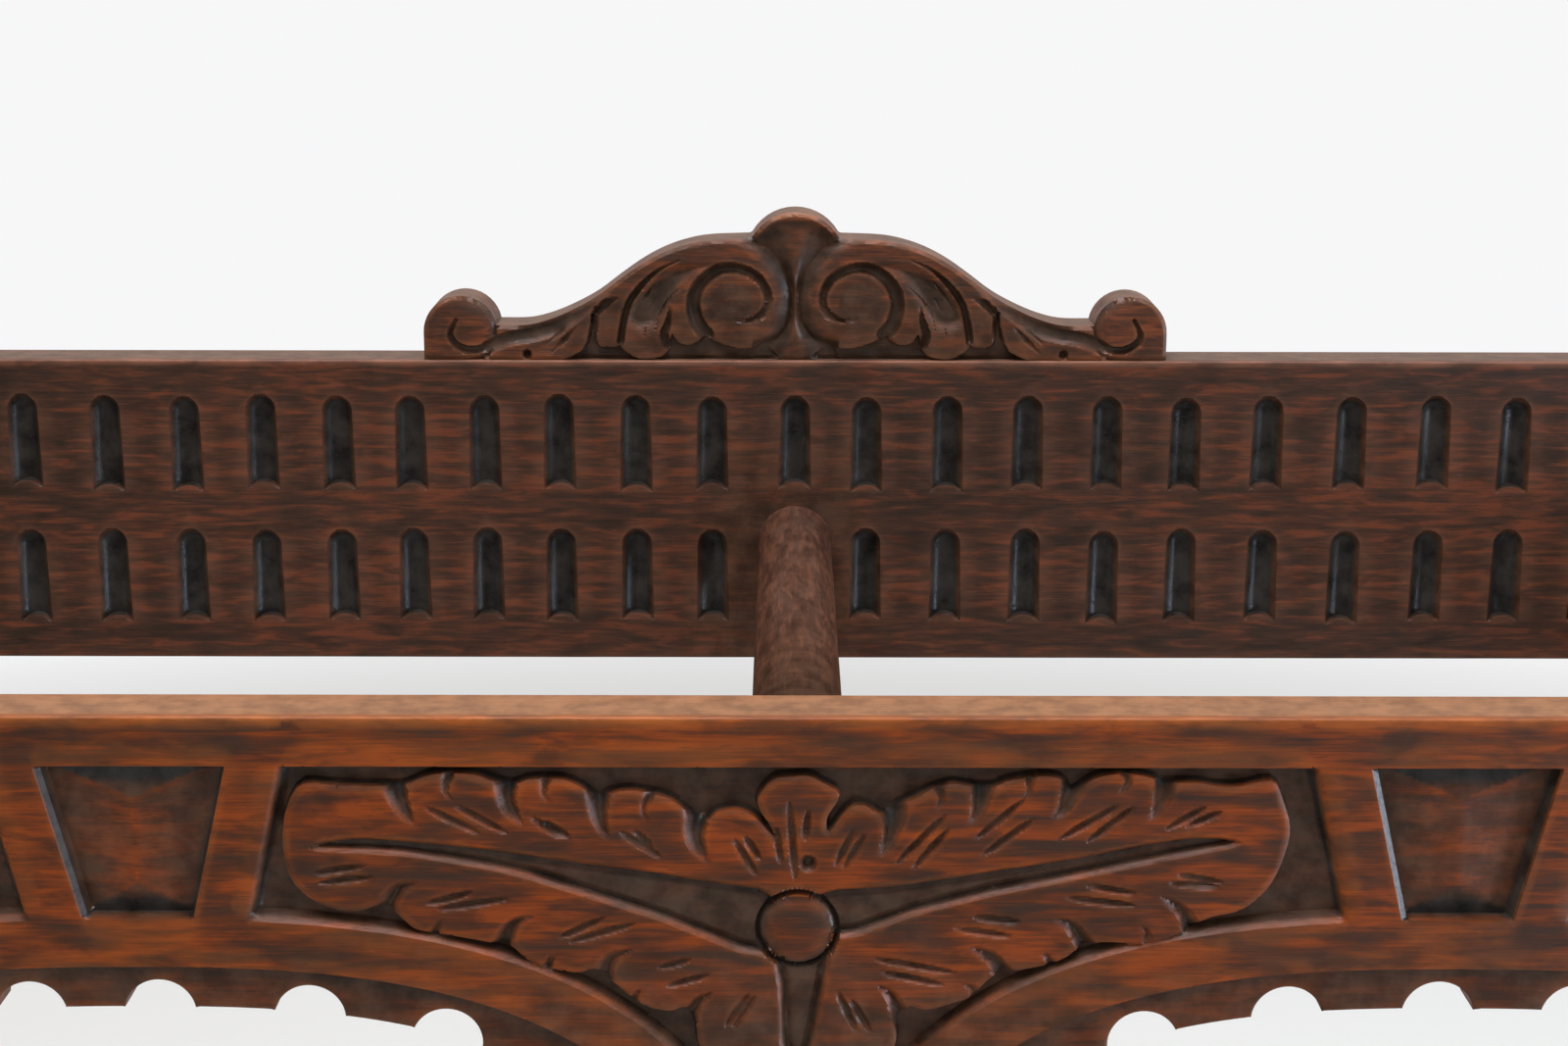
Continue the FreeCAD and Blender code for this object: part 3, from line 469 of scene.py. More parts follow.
def carved_board(name, outline, relief, rows, areas, place):
    """A board with a carved front, softened edges, plain sides and a plain back.

    relief gives the depth at points and how dark they are. rows are the runs along which the
    surface turns. areas are tests of points, each with the spacing that its carving needs.
    """
    loop = evenly(outline, EDGE_STEP, True)
    front, triangles = triangulate(loop, face_points(loop, rows, areas))
    rim = len(loop)
    depth, dark = relief(front)
    inset = np.abs(signed_distance(front, loop, 4))
    depth += arris_drop(inset)
    # hands wore the top edge most, and it is painted palest, wear and a painted highlight along it
    wear_and_highlight = np.where(front[:, 1] > loop[:, 1].max() - 2, 1.0, OTHER_EDGE_WEAR_AND_HIGHLIGHT)
    wear_and_highlight *= 1 - smooth_step(inset, 0.4, 1.5)
    back, back_triangles, back_inset = plain_back(loop)
    back_depth = THICK - arris_drop(back_inset)

    start, end = depth[:rim], back_depth[:rim]
    sides = [start + share * (end - start) for share in SIDE_SHARES]
    flat = np.vstack([front] + [loop] * len(sides) + [back])
    deep = np.concatenate([depth] + sides + [back_depth])
    plain = np.zeros(rim)
    stain_and_shade = np.concatenate([dark] + [plain] * len(sides) + [0 * back_depth])
    wear_and_highlight = np.concatenate([wear_and_highlight] + [plain] * len(sides) + [OTHER_EDGE_WEAR_AND_HIGHLIGHT * (back_inset < ARRIS)])
    faces = triangles.tolist()
    offsets = [0] + [len(front) + i * rim for i in range(len(sides) + 1)]
    for upper, lower in zip(offsets, offsets[1:]):
        for i in range(rim):
            j = (i + 1) % rim
            faces.append((upper + j, upper + i, lower + i, lower + j))
    faces += (back_triangles[:, ::-1] + offsets[-1]).tolist()
    piece = new_object(name, place(flat[:, 0], flat[:, 1], deep), faces)
    mark_surface(piece, stain_and_shade, wear_and_highlight, np.arange(len(flat)) < len(front))
    return piece


def facing_front(face_y, top):
    """Places a board whose carved face looks to -Y."""
    return lambda x, z, deep: np.stack([x, face_y + deep, top + z], 1)


def facing_side(face_x, top, side):
    """Places a board whose carved face looks to the stand's right (1) or left (-1)."""
    return lambda x, z, deep: np.stack([side * (face_x - deep), side * x, top + z], 1)


# ---- sizes that the frame gives, in millimetres ----
def node_box(node):
    """A node's lowest and highest corner in millimetres."""
    low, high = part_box(node)
    return np.array(low) / MM, np.array(high) / MM


rail_low, rail_high = node_box("front_rail")
back_low, back_high = node_box("back_rail")
post_low, post_high = node_box("front_post_right")
crest_low, crest_high = node_box("crest")
side_low, side_high = node_box("side_rail_right")
base_low, base_high = node_box("base_front_rail")
_, base_side_high = node_box("base_side_rail_right")

POST = post_high[0] - post_low[0]
INNER_X, INNER_Y = post_low[0], -post_high[1]
THICK = rail_high[1] - rail_low[1]
FRONT_TOP, BACK_TOP = rail_high[2], back_high[2]
SPRING = rail_low[2] - FRONT_TOP  # the arches' feet, below the rail's top
BACK_HEIGHT = BACK_TOP - back_low[2]

PENDANT, BAND, BAND_SUNK = 23.0, 13.0, 5.0
ARCH_HALF = (INNER_X - 3.0 - PENDANT) / 2
ARCH_X = PENDANT + ARCH_HALF
CROWN = -65.0  # how far below the rail's top the arches' crowns are
ARCH_RISE = CROWN - SPRING
PANEL_SUNK, PANEL_TOP, PANEL_MARGIN = 4.5, -12.6, 12.5
PANEL_BOTTOM = CROWN + PANEL_MARGIN
PANEL_END = INNER_X - 6.0  # the half panels stop this far out
KEY_WIDE, KEY_NARROW = 47.0, 27.7
SLANT = (KEY_WIDE - KEY_NARROW) / 2 / (PANEL_TOP - PANEL_BOTTOM)
RIDGE_INSET = 9.5  # how far a keystone's ridge stays from its top and bottom


# ---- keystone panels ----
KEY_SUNK, KEY_RIDGE_SUNK = 4.5, 2.3
KEY_WALL = 1.9  # width of the sloping wall on a keystone's left
# a keystone's stain, its painted shade on the upper and lower facets, the low floor and the walls,
# and painted highlight on the facets' meeting lines
SIDE_STAIN, END_FACET_SHADE, LOW_FLOOR_SHADE, WALL_SHADE, LINE_HIGHLIGHT = 0.28, 0.36, 0.46, 0.95, 0.34


def keystone(depth, points, x):
    """A sunk panel, wider at its top, whose floor rises to a short upright ridge."""
    across = np.abs(points[:, 0] - x)
    share = np.clip((points[:, 1] - PANEL_BOTTOM) / (PANEL_TOP - PANEL_BOTTOM), 0, 1)
    half = (KEY_NARROW + share * (KEY_WIDE - KEY_NARROW)) / 2
    from_top, from_bottom = PANEL_TOP - points[:, 1], points[:, 1] - PANEL_BOTTOM
    end = np.minimum(from_top, from_bottom)
    near = (half > across) & (end > 0)
    slopes = [1 - across / half, from_top / RIDGE_INSET, from_bottom / RIDGE_INSET]
    rise = np.clip(np.minimum.reduce(slopes), 0, 1)
    floor = KEY_SUNK - (KEY_SUNK - KEY_RIDGE_SUNK) * rise
    floor += 0.05 * ripple(points, 8, 31)
    from_side = half - across
    bevel = 0.74 * from_side + KEY_SUNK * smooth_step(from_side, KEY_WALL - 0.3, KEY_WALL + 0.4)
    side = np.where(points[:, 0] < x, bevel, 3.4 * from_side)
    floor = np.minimum(floor, np.maximum(side, 0)) * smooth_step(end, 0, 0.8)
    depth[near] = np.maximum(depth, floor)[near]


def keystone_rows(x):
    """The edges and ridges of a keystone panel."""
    a, b = KEY_WIDE / 2, KEY_NARROW / 2
    high, low = (x, PANEL_TOP - RIDGE_INSET), (x, PANEL_BOTTOM + RIDGE_INSET)
    corners = [(x - a, PANEL_TOP), (x + a, PANEL_TOP), (x + b, PANEL_BOTTOM), (x - b, PANEL_BOTTOM)]
    rows = [[corner, end] for corner, end in zip(corners, (high, high, low, low))]
    rows.append([high, low])
    for p, q in zip(corners, corners[1:] + corners[:1]):
        run = evenly([p, q], 1.5)
        rows += [run, beside(run, -0.4), beside(run, -0.8)]
    for side, inset in ((-1, 1.6), (-1, 2.3), (1, 1.3)):
        rows.append([(x + side * (a - inset), PANEL_TOP), (x + side * (b - inset), PANEL_BOTTOM)])
    return rows


def in_keystone(points, middle=0.0):
    """Whether points lie in the keystone panels whose middles are this far out."""
    x = np.abs(np.abs(points[:, 0]) - middle)
    level = (points[:, 1] > PANEL_BOTTOM - 0.5) & (points[:, 1] < PANEL_TOP + 0.5)
    return (x < KEY_WIDE / 2 + 0.5) & level


# ---- the leaf panel of the front rail, drawn from its middle ----
LEFT_LEAF = [
    (-1.5, -15.3), (-5.3, -15.8), (-8.1, -18.2), (-9.8, -22.4), (-6.7, -28.1), (-5.7, -31.1),
    (-9.1, -27.2), (-11.9, -24.7), (-15.7, -23.7), (-19.9, -24.7), (-22.3, -26.8),
    (-26.1, -25.3), (-30.8, -21.3), (-35.5, -19.9), (-41.2, -18.9), (-46.4, -19.9),
    (-49.2, -21.1), (-52.5, -18.5), (-57.2, -16.2), (-65.2, -16.1), (-69, -17.4),
    (-74, -16.8), (-79.1, -14.9), (-86.2, -14.6), (-90.9, -15.4), (-95.8, -17.6),
    (-101.8, -18), (-112, -17.8), (-120.7, -17.4), (-124.7, -22.9), (-126.4, -30.9),
    (-125.1, -41), (-120.1, -47.1), (-113.5, -50.1), (-108.3, -50.3), (-104.4, -49.2),
    (-100.1, -50), (-96.9, -53.1), (-93.7, -55.4), (-85.1, -56.9), (-75.1, -58.8),
    (-71, -59.5), (-66.7, -63.2), (-60.6, -65.6), (-54.3, -66.7), (-50.5, -65.6),
    (-46.2, -68.6), (-42.9, -71.7), (-38.1, -75.4), (-31.8, -76.8), (-28, -75.8),
    (-25.2, -80.5), (-24.7, -85.2), (-22, -92.2), (-17, -96.1), (-15, -104.1),
    (-10.5, -112.1), (-5, -120), (0, -127),
]
RIGHT_LEAF = [
    (5, -120), (10.5, -111.9), (15, -103.9), (17, -95.9), (22, -91.8), (24.7, -84.8),
    (24.5, -79.6), (28, -75.4), (31.8, -76.4), (38.1, -74.8), (43.5, -72.7), (46.4, -69.3),
    (49.4, -66.9), (54.3, -65.9), (62.1, -64.3), (66.7, -62.2), (69.8, -59.9), (75.1, -58.3),
    (85.4, -58.4), (93.7, -56.0), (96, -55.0), (102, -51.6), (108, -50.3), (112.5, -47.6),
    (116.8, -42.4), (119.5, -35.4), (120.6, -28.4), (118.3, -20.5), (115.6, -16.2),
    (108.6, -17.5), (102.6, -17.6), (97.5, -16.7), (90.5, -16.9), (87.4, -15.9),
    (83.9, -14.9), (79.9, -14.4), (77.4, -14.5), (72.4, -15.7), (67, -19.2), (64.7, -16.2),
    (60.6, -15.1), (54.5, -15.7), (51.2, -16.4), (47.9, -17.8), (42.7, -17.9), (38, -17),
    (34.7, -17.9), (31.9, -18.9), (28.6, -20.9), (24.4, -22.6), (21.1, -25.4),
    (16.3, -22.7), (12.1, -23.7), (7.8, -29.5), (7.1, -26), (10.2, -20), (6.4, -17.1),
    (2.6, -15.1),
]
LEAF = smooth_run(LEFT_LEAF + RIGHT_LEAF, True, 3)
# deep cuts between the lobes, from the outline inward; 1 puts the steep wall on the run's left
LOBE_CUTS = [
    (1, [(-96.2, -16.6), (-95.4, -22.2), (-93.2, -28.2)]),
    (1, [(-68.8, -16.4), (-69.4, -22), (-66.7, -28)]),
    (1, [(-46.4, -18.8), (-47.2, -25.4), (-45.9, -31.9)]),
    (1, [(-22.3, -26.0), (-23.5, -31.3), (-21.2, -37.8)]),
    (-1, [(21.1, -24.4), (21.1, -31.5), (19.3, -36)]),
    (-1, [(42.7, -16.9), (42.8, -23.8), (41.2, -28)]),
    (-1, [(64.9, -15.6), (63.9, -22.6), (61.8, -26.2)]),
    (-1, [(87.4, -15.0), (87.2, -21.7), (85.8, -26.8)]),
    (-1, [(-100.2, -50.5), (-97.6, -45.4), (-92.5, -43.1)]),
    (-1, [(-71.5, -60), (-69.3, -54.4), (-64.1, -51.5)]),
    (-1, [(-46.4, -69.6), (-45.6, -64), (-38.9, -60.1)]),
    (-1, [(-25.8, -83.1), (-24.6, -75.8), (-19, -70.8)]),
    (1, [(96, -56), (93.8, -50.7), (88.5, -45.6)]),
    (1, [(69.8, -60.4), (67, -54.8), (62.4, -52.4)]),
    (1, [(49.4, -67.4), (46.9, -62.9), (41.5, -59.5)]),
    (1, [(24.3, -80), (22.5, -73.3), (18.6, -69.3)]),
]
NICKS = [
    [(-84.3, -15.4), (-85.4, -19.1), (-84, -21.6)],
    [(-60.5, -16.2), (-61.3, -20), (-60.1, -22.5)],
    [(-35.1, -20.3), (-37.2, -23.9), (-36.5, -26.9)],
    [(33.3, -18.2), (34.3, -21.4), (32.9, -23.9)],
    [(55.4, -15.4), (55.7, -18.7), (54.6, -20.7)],
    [(78.6, -14.0), (79.7, -16.4), (78, -19.9)],
    [(-88.9, -57.0), (-88.1, -54), (-86.9, -52.4)],
    [(-61, -65.4), (-60, -62), (-59, -61.3)],
    [(-40, -74.9), (-39.5, -72.3), (-38, -71.2)],
    [(85.4, -59.0), (85.8, -55.7), (84.2, -54)],
    [(62.1, -64.9), (61.3, -62.3), (59.8, -61.7)],
    [(43.5, -73.3), (42.5, -70.6), (40.3, -69.6)],
]
LEFT_RIB = [
    (-119.5, -33.9), (-109.9, -31.3), (-98.6, -31.8), (-79.6, -33.7), (-57.6, -37),
    (-35.7, -40), (-19.6, -42.8), (-6.2, -46.3), (-7.7, -61.7), (-34, -52.1),
    (-57.7, -44.1), (-70.3, -40.1), (-84.5, -37.2), (-98.7, -35),
]
RIGHT_RIB = [
    (5, -45.8), (24.1, -43.5), (43.1, -40.4), (70.1, -35.9), (83, -33), (98.1, -30.7),
    (108.2, -32.1), (93.2, -35.5), (70.2, -40.7), (48, -45.5), (29, -50.7), (9.9, -56.9),
]
STEM = [
    (-5.8, -63.2), (-4.3, -69.9), (-3.8, -85.5), (0, -101), (3.7, -85.5), (6.6, -69.9),
    (8.4, -59.6), (0, -58),
]
VEINS = [
    (-2.2, -21.1, -0.5, -42.2), (-5.3, -28.1, -4.1, -37.6), (2.6, -23.6, 1.7, -31.6),
    (-15.7, -31.2, -10, -40.8), (-13.1, -30.4, -9.1, -36.7), (-43.7, -29.4, -33.3, -36.3),
    (-40.4, -29.1, -35.7, -33.4), (-65.4, -25.6, -57.9, -31), (-62.6, -26.5, -55.6, -31.2),
    (-91.2, -23.1, -77.6, -30.1), (-84, -22.6, -71, -30), (13.5, -29, 9.3, -38.6),
    (16.4, -30, 11.2, -39.1), (36.2, -24.8, 24, -37.9), (37.2, -28.3, 28.3, -39),
    (55.5, -20.7, 43.4, -31.3), (58, -25.7, 44.9, -35.8), (78.6, -22.3, 63.7, -31.4),
    (82.2, -22.8, 70.8, -32), (99.8, -22.7, 89.9, -28.7), (103.9, -23.8, 95, -28),
    (-119.3, -40.4, -106.4, -38.4), (-118, -43, -104.6, -41.3), (-92, -48.5, -80, -45.3),
    (-89.2, -49.9, -71.4, -47), (-59.4, -57.4, -47.4, -51.7), (-56.6, -58.4, -39.7, -53.2),
    (-34.6, -65.4, -26.4, -62.9), (-32.7, -70.1, -21.6, -67), (-17.9, -80.9, -12, -72.1),
    (-15.9, -81.4, -10.6, -72.6), (93.4, -40.4, 104.6, -42.5), (91.4, -42.6, 103.7, -43.6),
    (71.2, -43.3, 83.4, -45.4), (66.2, -46.5, 83.5, -48.6), (43.3, -51.6, 55.3, -53),
    (38.6, -54.6, 53, -56.6), (18.5, -62.6, 39.7, -66.5), (20.5, -66.2, 36.4, -69.6),
    (10, -71.3, 14.8, -82.3), (13.3, -73.4, 18.2, -82.3),
]
BOSS_Z, BOSS_R, BOSS_GROOVE = -55.0, 9.0, 1.7
PIP, PIP_R, PIP_DEEP = (2.6, -37.6), 1.5, 2.6  # a punched mark above the boss
NICK_WIDE, NICK_DEEP = 3.0, 1.9


def rib_section(within):
    """Depth of a rib: sloping walls, a groove along its edges and a slightly raised middle."""
    wall = 1.25 * np.clip((within + 0.7) / 1.2, 0, 1)
    return wall + 1.45 * smooth_step(within, 0.4, 1.0) - 1.0 * smooth_step(within, 1.2, 3.0)


def leaf_surface(points):
    """Depth of the leaves' upper surface, with their cuts, veins, ribs and the boss."""
    depth = np.full(len(points), 0.25)
    for side, run in LOBE_CUTS:
        wide = 6.2 if run[0][1] > BOSS_Z / 2 else 4.8
        scoop(depth, points, run, wide, 0.57 * wide, side)
    for run in NICKS:
        side = 1 if (run[0][0] < 0) == (run[0][1] > BOSS_Z / 2) else -1
        scoop(depth, points, run, NICK_WIDE, NICK_DEEP, side)
    for x0, z0, x1, z1 in VEINS:
        vein(depth, points, (x0, z0), (x1, z1))
    for outline in (LEFT_RIB, RIGHT_RIB):
        within = signed_distance(points, smooth_run(outline, True, 3), 3)
        depth = np.maximum(depth, rib_section(within))
    within = signed_distance(points, np.array(STEM, float), 4)
    depth = np.maximum(depth, rib_section(within))
    away = np.hypot(points[:, 0] - PIP[0], points[:, 1] - PIP[1])
    depth = np.maximum(depth, PIP_DEEP * np.clip(1.6 - away / PIP_R, 0, 1))
    away = np.hypot(points[:, 0], points[:, 1] - BOSS_Z)
    ring = np.abs(away - BOSS_R - BOSS_GROOVE / 2) / (BOSS_GROOVE / 2)
    dome = 0.3 + 1.3 * np.clip(away / BOSS_R, 0, 1) ** 3
    depth = np.where(away < BOSS_R, dome, depth)
    return np.maximum(depth, 3.4 * np.sqrt(np.clip(1 - ring**2, 0, 1)))


PANEL_HALF = ARCH_X - KEY_WIDE / 2 - 11.6  # at the panel's top
PANEL_REACH, PANEL_TOP_HALF = 142, 127  # safely past its widest, and nearly its top's half


def panel_walls():
    """The leaf panel's outline, its top left open because that wall is steeper."""
    open_z = 8.0
    foot = SPRING + 11.0
    arch = arch_line(ARCH_X, SPRING, ARCH_HALF + PANEL_MARGIN, ARCH_RISE + PANEL_MARGIN)
    slant_x = PANEL_HALF + SLANT * (PANEL_TOP - arch[:, 1])
    keep = (arch[:, 0] < slant_x) & (arch[:, 1] > foot) & (arch[:, 0] < ARCH_X)
    curve = arch[keep][::-1]
    right = [(PANEL_HALF + SLANT * (PANEL_TOP - open_z), open_z)]
    right += [(curve[0][0] + 0.5, curve[0][1])] + [tuple(p) for p in curve]
    right += [(curve[-1][0], foot)]
    left = [(-x, z) for x, z in right[::-1]]
    return np.array(right + left)


PANEL = panel_walls()


def leaf_panel(depth, points, middle, stop=None):
    """Carves the leaf panel whose middle is at this x; at a stop it ends in an upright wall."""
    local = points - [middle, 0]
    near = np.flatnonzero((np.abs(local[:, 0]) < PANEL_REACH) & (local[:, 1] < PANEL_TOP))
    p = local[near]
    walls = signed_distance(p, PANEL, 4)
    if stop is not None:
        walls = np.minimum(walls, math.copysign(1, stop) * (stop - points[near, 0]))
    panel = 0.38 * np.clip(walls / 1.5, 0, 1) + 0.62 * smooth_step(walls, 1.3, 2.1)
    panel *= smooth_step(PANEL_TOP - p[:, 1], 0, 0.45)
    from_side = PANEL_HALF + SLANT * (PANEL_TOP - p[:, 1]) - np.abs(p[:, 0])
    panel *= 0.12 + 0.88 * np.clip(from_side / 4.2, 0, 1)
    groove = 0.9 * np.clip(1 - np.abs(from_side - 1.2) / 0.6, 0, 1) * (walls > 1.0)
    ground = PANEL_SUNK + 0.16 * ripple(p, 5, 11)
    within = signed_distance(p, LEAF, 3)
    if stop is not None:
        within = np.minimum(within, walls - 2.0)
    top = leaf_surface(p) + 0.45 * (1 - np.clip(within / 1.6, 0, 1)) ** 2
    top += 0.07 * ripple(p, 7, 12)
    leaf = smooth_step(within, -0.75, 0.05)
    carved = np.minimum(top, ground) * leaf + ground * (1 - leaf)
    depth[near] = np.maximum(depth[near], carved * panel + groove)


# ---- front rail ----
# how much darker the rail is low down and on the set-back borders
LOW_DARKENING, MOST_LOW_DARKENING, BORDER_DARKENING, SIDE_BORDER_DARKENING = 0.50, 0.6, 0.55, 0.5


def set_back(depth, points, line, spring):
    """Sinks the border under an arch line, and tells which points it covers."""
    foot = [(line[-1][0], spring - 4), (line[0][0], spring - 4)]
    below = signed_distance(points, np.vstack([line, foot]), 2)
    depth[:] = np.maximum(depth, BAND_SUNK * smooth_step(below, 0, 0.45))
    return below > 0


def border_rows(line):
    """Runs along which the step to the set-back border turns."""
    return [line] + [beside(line, offset) for offset in (0.3, -0.22, -0.5)]


FRONT_NOTCHES = {-1: (-108, -71, -29.6, 3, 40.7, 76, 112), 1: (-112, -77, -40, -2, 33, 70, 106)}


def front_outline():
    """The front rail's outline: two scalloped arches with a pendant between them."""
    runs = []
    for side in (-1, 1):
        line = arch_line(side * ARCH_X, SPRING, ARCH_HALF - BAND, ARCH_RISE - BAND)
        runs.append(scalloped(line, FRONT_NOTCHES[side]))
    corners = [np.array([(-INNER_X, SPRING)])] + runs
    corners.append(np.array([(INNER_X, SPRING), (INNER_X, 0), (-INNER_X, 0)]))
    return np.vstack(corners)


def front_dark(points, depth, middle=0.0):
    """How dark the carving is: keystone panels are stained all over and carry painted shade and
    highlight, the rest in its depths.
    """
    key = in_keystone(points, middle) & (depth > 0.15)
    across = np.abs(np.abs(points[:, 0]) - middle)
    from_wall = KEY_WIDE / 2 + SLANT * (points[:, 1] - PANEL_TOP) - across
    # painted shade along the keystone's side walls
    walls = 1 - smooth_step(from_wall, 1.6, 4.2)
    # painted highlight along the facets' meeting lines, and painted shade on the upper and lower
    # facets and the deep floor
    from_end = np.minimum(PANEL_TOP - points[:, 1], points[:, 1] - PANEL_BOTTOM)
    to_end = from_end / RIDGE_INSET  # 0 at the panel's end, 1 at the ridge's
    to_side = from_wall / np.maximum(from_wall + across, 1)  # 0 at the wall, 1 in the middle
    lines = 1 - smooth_step(np.abs(to_side - np.minimum(to_end, 1)), 0.015, 0.06)
    lines *= smooth_step(np.minimum(to_side, to_end), 0.15, 0.5)
    facets = SIDE_STAIN + END_FACET_SHADE * smooth_step(to_side - to_end, 0, 0.04)
    facets += LOW_FLOOR_SHADE * smooth_step(depth, 2.2, 4.3) - LINE_HIGHLIGHT * lines
    key_dark = np.maximum(np.clip(facets, 0, 1), WALL_SHADE * walls)
    return np.where(key, key_dark, stained(depth))


def front_relief(points):
    """Depth of the front rail's carved face, and how dark it is."""
    depth = np.zeros(len(points))
    for side in (-1, 1):
        keystone(depth, points, side * ARCH_X)
    leaf_panel(depth, points, 0)
    for side in (-1, 1):
        leaf_panel(depth, points, side * 2 * ARCH_X, side * PANEL_END)
    dark = front_dark(points, depth, ARCH_X)
    # darker low on the rail, most of all in the middle and near the arches
    low = smooth_step(-points[:, 1] - 0.10 * np.abs(points[:, 0]), 50, 84)
    wander = 0.16 * ripple(points, 16, 3)
    dark = np.maximum(dark, np.clip(LOW_DARKENING * low + wander * (low > 0), 0, MOST_LOW_DARKENING))
    for side in (-1, 1):
        line = arch_line(side * ARCH_X, SPRING, ARCH_HALF, ARCH_RISE)
        dark = np.where(set_back(depth, points, line, SPRING), BORDER_DARKENING + wander, dark)
    return depth + 0.05 * ripple(points, 30, 5), dark


def front_rows():
    """Runs along which the front rail's face turns sharply."""
    rows = []
    for side in (-1, 1):
        line = arch_line(side * ARCH_X, SPRING, ARCH_HALF, ARCH_RISE)
        rows += border_rows(line) + keystone_rows(side * ARCH_X)
    for middle in (-2 * ARCH_X, 0, 2 * ARCH_X):
        leaf = np.vstack([LEAF, LEAF[:1]]) + [middle, 0]
        panel = evenly(PANEL, 1.5) + [middle, 0]
        rows += [leaf, beside(leaf, -0.4), beside(leaf, -0.8)]
        rows += [panel, beside(panel, -0.75), beside(panel, -1.5), beside(panel, -2.2)]
        for drop in (0, 0.25, 0.5):
            z = PANEL_TOP - drop
            rows.append([(middle - PANEL_TOP_HALF, z), (middle + PANEL_TOP_HALF, z)])
        for _, run in LOBE_CUTS:
            rows.append(smooth_run(run) + [middle, 0])
        for outline in (LEFT_RIB, RIGHT_RIB, STEM):
            rib = smooth_run(outline, True, 3)
            rib = np.vstack([rib, rib[:1]]) + [middle, 0]
            rows += [rib] + [beside(rib, offset) for offset in (-0.7, 0.7, -1.0, 1.0, 1.8)]
        for radius in (BOSS_R, BOSS_R + BOSS_GROOVE / 2, BOSS_R + BOSS_GROOVE):
            rows.append(circle(radius) + [middle, BOSS_Z])
    for side in (-1, 1):
        for drop in (0, 1.1, 2.2):
            x = side * (PANEL_END - drop)
            rows.append([(x, PANEL_TOP), (x, SPRING)])
    return [clip_row(run, PANEL_END) for run in rows]


def clip_row(run, limit):
    """The part of a run between the posts."""
    run = evenly(run, 1.0)
    return run[np.abs(run[:, 0]) <= limit]


def in_panel(points):
    """Whether points lie in a leaf panel, the middle one or a part of one at an end."""
    x = np.abs(points[:, 0])
    local = np.where(x > ARCH_X, 2 * ARCH_X - x, x)
    found = signed_distance(np.stack([local, points[:, 1]], 1), PANEL, 4) > -0.4
    return found & (points[:, 1] < PANEL_TOP + 0.4) & (x < INNER_X - 5.6)


FRONT_AREAS = [
    (lambda points: in_panel(points) & (np.abs(points[:, 0]) < ARCH_X), 0.64),
    (in_panel, 1.0),
    (lambda points: in_keystone(points, ARCH_X), 0.85),
]


# ---- flutes ----
FLUTE_WIDE, FLUTE_DEEP, FLUTE_PITCH = 10.8, 3.8, 25.5
# the back rail's flutes were set out by eye, so their spacing wanders
BACK_FLUTES = [
    -280, -250.7, -224, -198.2, -173.4, -148.6, -125, -100.8, -76.6, -51.7, -26.9, 0,
    23.2, 49.5, 75.6, 101.4, 126.9, 153.6, 180.7, 208, 234.2, 260.5,
]


def flute_rows(x, top, length):
    """Runs that follow one flute's edge and its stop."""
    half = FLUTE_WIDE / 2
    upper = half - FLUTE_TAPER * (length - half) / length
    angle = np.linspace(0, math.pi, 15)
    arch = np.stack([x + upper * np.cos(angle), top - half + upper * np.sin(angle)], 1)
    bottom = top - length
    spread = math.asin(half / FLUTE_STOP)
    turn = np.linspace(-spread, spread, 9)
    sunk = math.sqrt(FLUTE_STOP**2 - half**2)
    chop = np.stack([x + FLUTE_STOP * np.sin(turn), bottom - sunk + FLUTE_STOP * np.cos(turn)], 1)
    outline = np.vstack([[(x + half, bottom)], arch, [(x - half, bottom)]])
    inner = np.stack([x + (outline[:, 0] - x) * 0.9, outline[:, 1] - 0.3], 1)
    outer = np.stack([x + (outline[:, 0] - x) * 1.15, outline[:, 1] + 0.4], 1)
    return [outline, inner, outer, chop, chop + [0, 0.35], chop + [0, 0.8], chop - [0, 0.5]]


def fluted_board(name, outline, bands, place, extra=None):
    """A board with rows of flutes, and anything extra carved into it.

    Each band is the flutes' places, their top and their length. The gouge wandered a little.
    """
    cuts = []
    for places, top, length in bands:
        for x in places:
            cuts.append((x, top + random.uniform(-0.6, 0.4), length + random.uniform(-0.3, 0.9)))

    def relief(points):
        depth = np.zeros(len(points))
        for x, top, length in cuts:
            near = np.flatnonzero(np.abs(points[:, 1] - top + length / 2) < length / 2 + 1)
            part = depth[near]
            flute(part, points[near], x, top, length, FLUTE_WIDE, FLUTE_DEEP)
            depth[near] = part
        dark = stained(depth, 1.0)
        if extra:
            dark = extra[0](depth, points, dark)
        return depth + 0.05 * ripple(points, 26, 8), dark

    def in_flute(points):
        found = np.zeros(len(points), bool)
        for x, top, length in cuts:
            level = np.abs(points[:, 1] - top + length / 2) < length / 2 + 0.8
            found |= (np.abs(points[:, 0] - x) < FLUTE_WIDE / 2 + 0.8) & level
        return found

    rows = [run for cut in cuts for run in flute_rows(*cut)]
    areas = [(in_flute, 0.9)]
    if extra:
        rows += extra[1]
        areas += extra[2]
    return carved_board(name, outline, relief, rows, areas, place)


def rectangle(half, height):
    """A plain board's outline, hung from its top edge."""
    return np.array([(-half, -height), (half, -height), (half, 0), (-half, 0)])


def even_places(half):
    """Evenly spaced flutes on a board, centred."""
    count = int((half - 20.0) / FLUTE_PITCH)
    return [k * FLUTE_PITCH for k in range(-count, count + 1)]


# ---- crest ----
CREST_HEIGHT, CREST_HALF = crest_high[2] - crest_low[2], crest_high[0]
VOLUTE_R, VOLUTE_Z = 11.8, 8.9
VOLUTE_X = CREST_HALF - VOLUTE_R


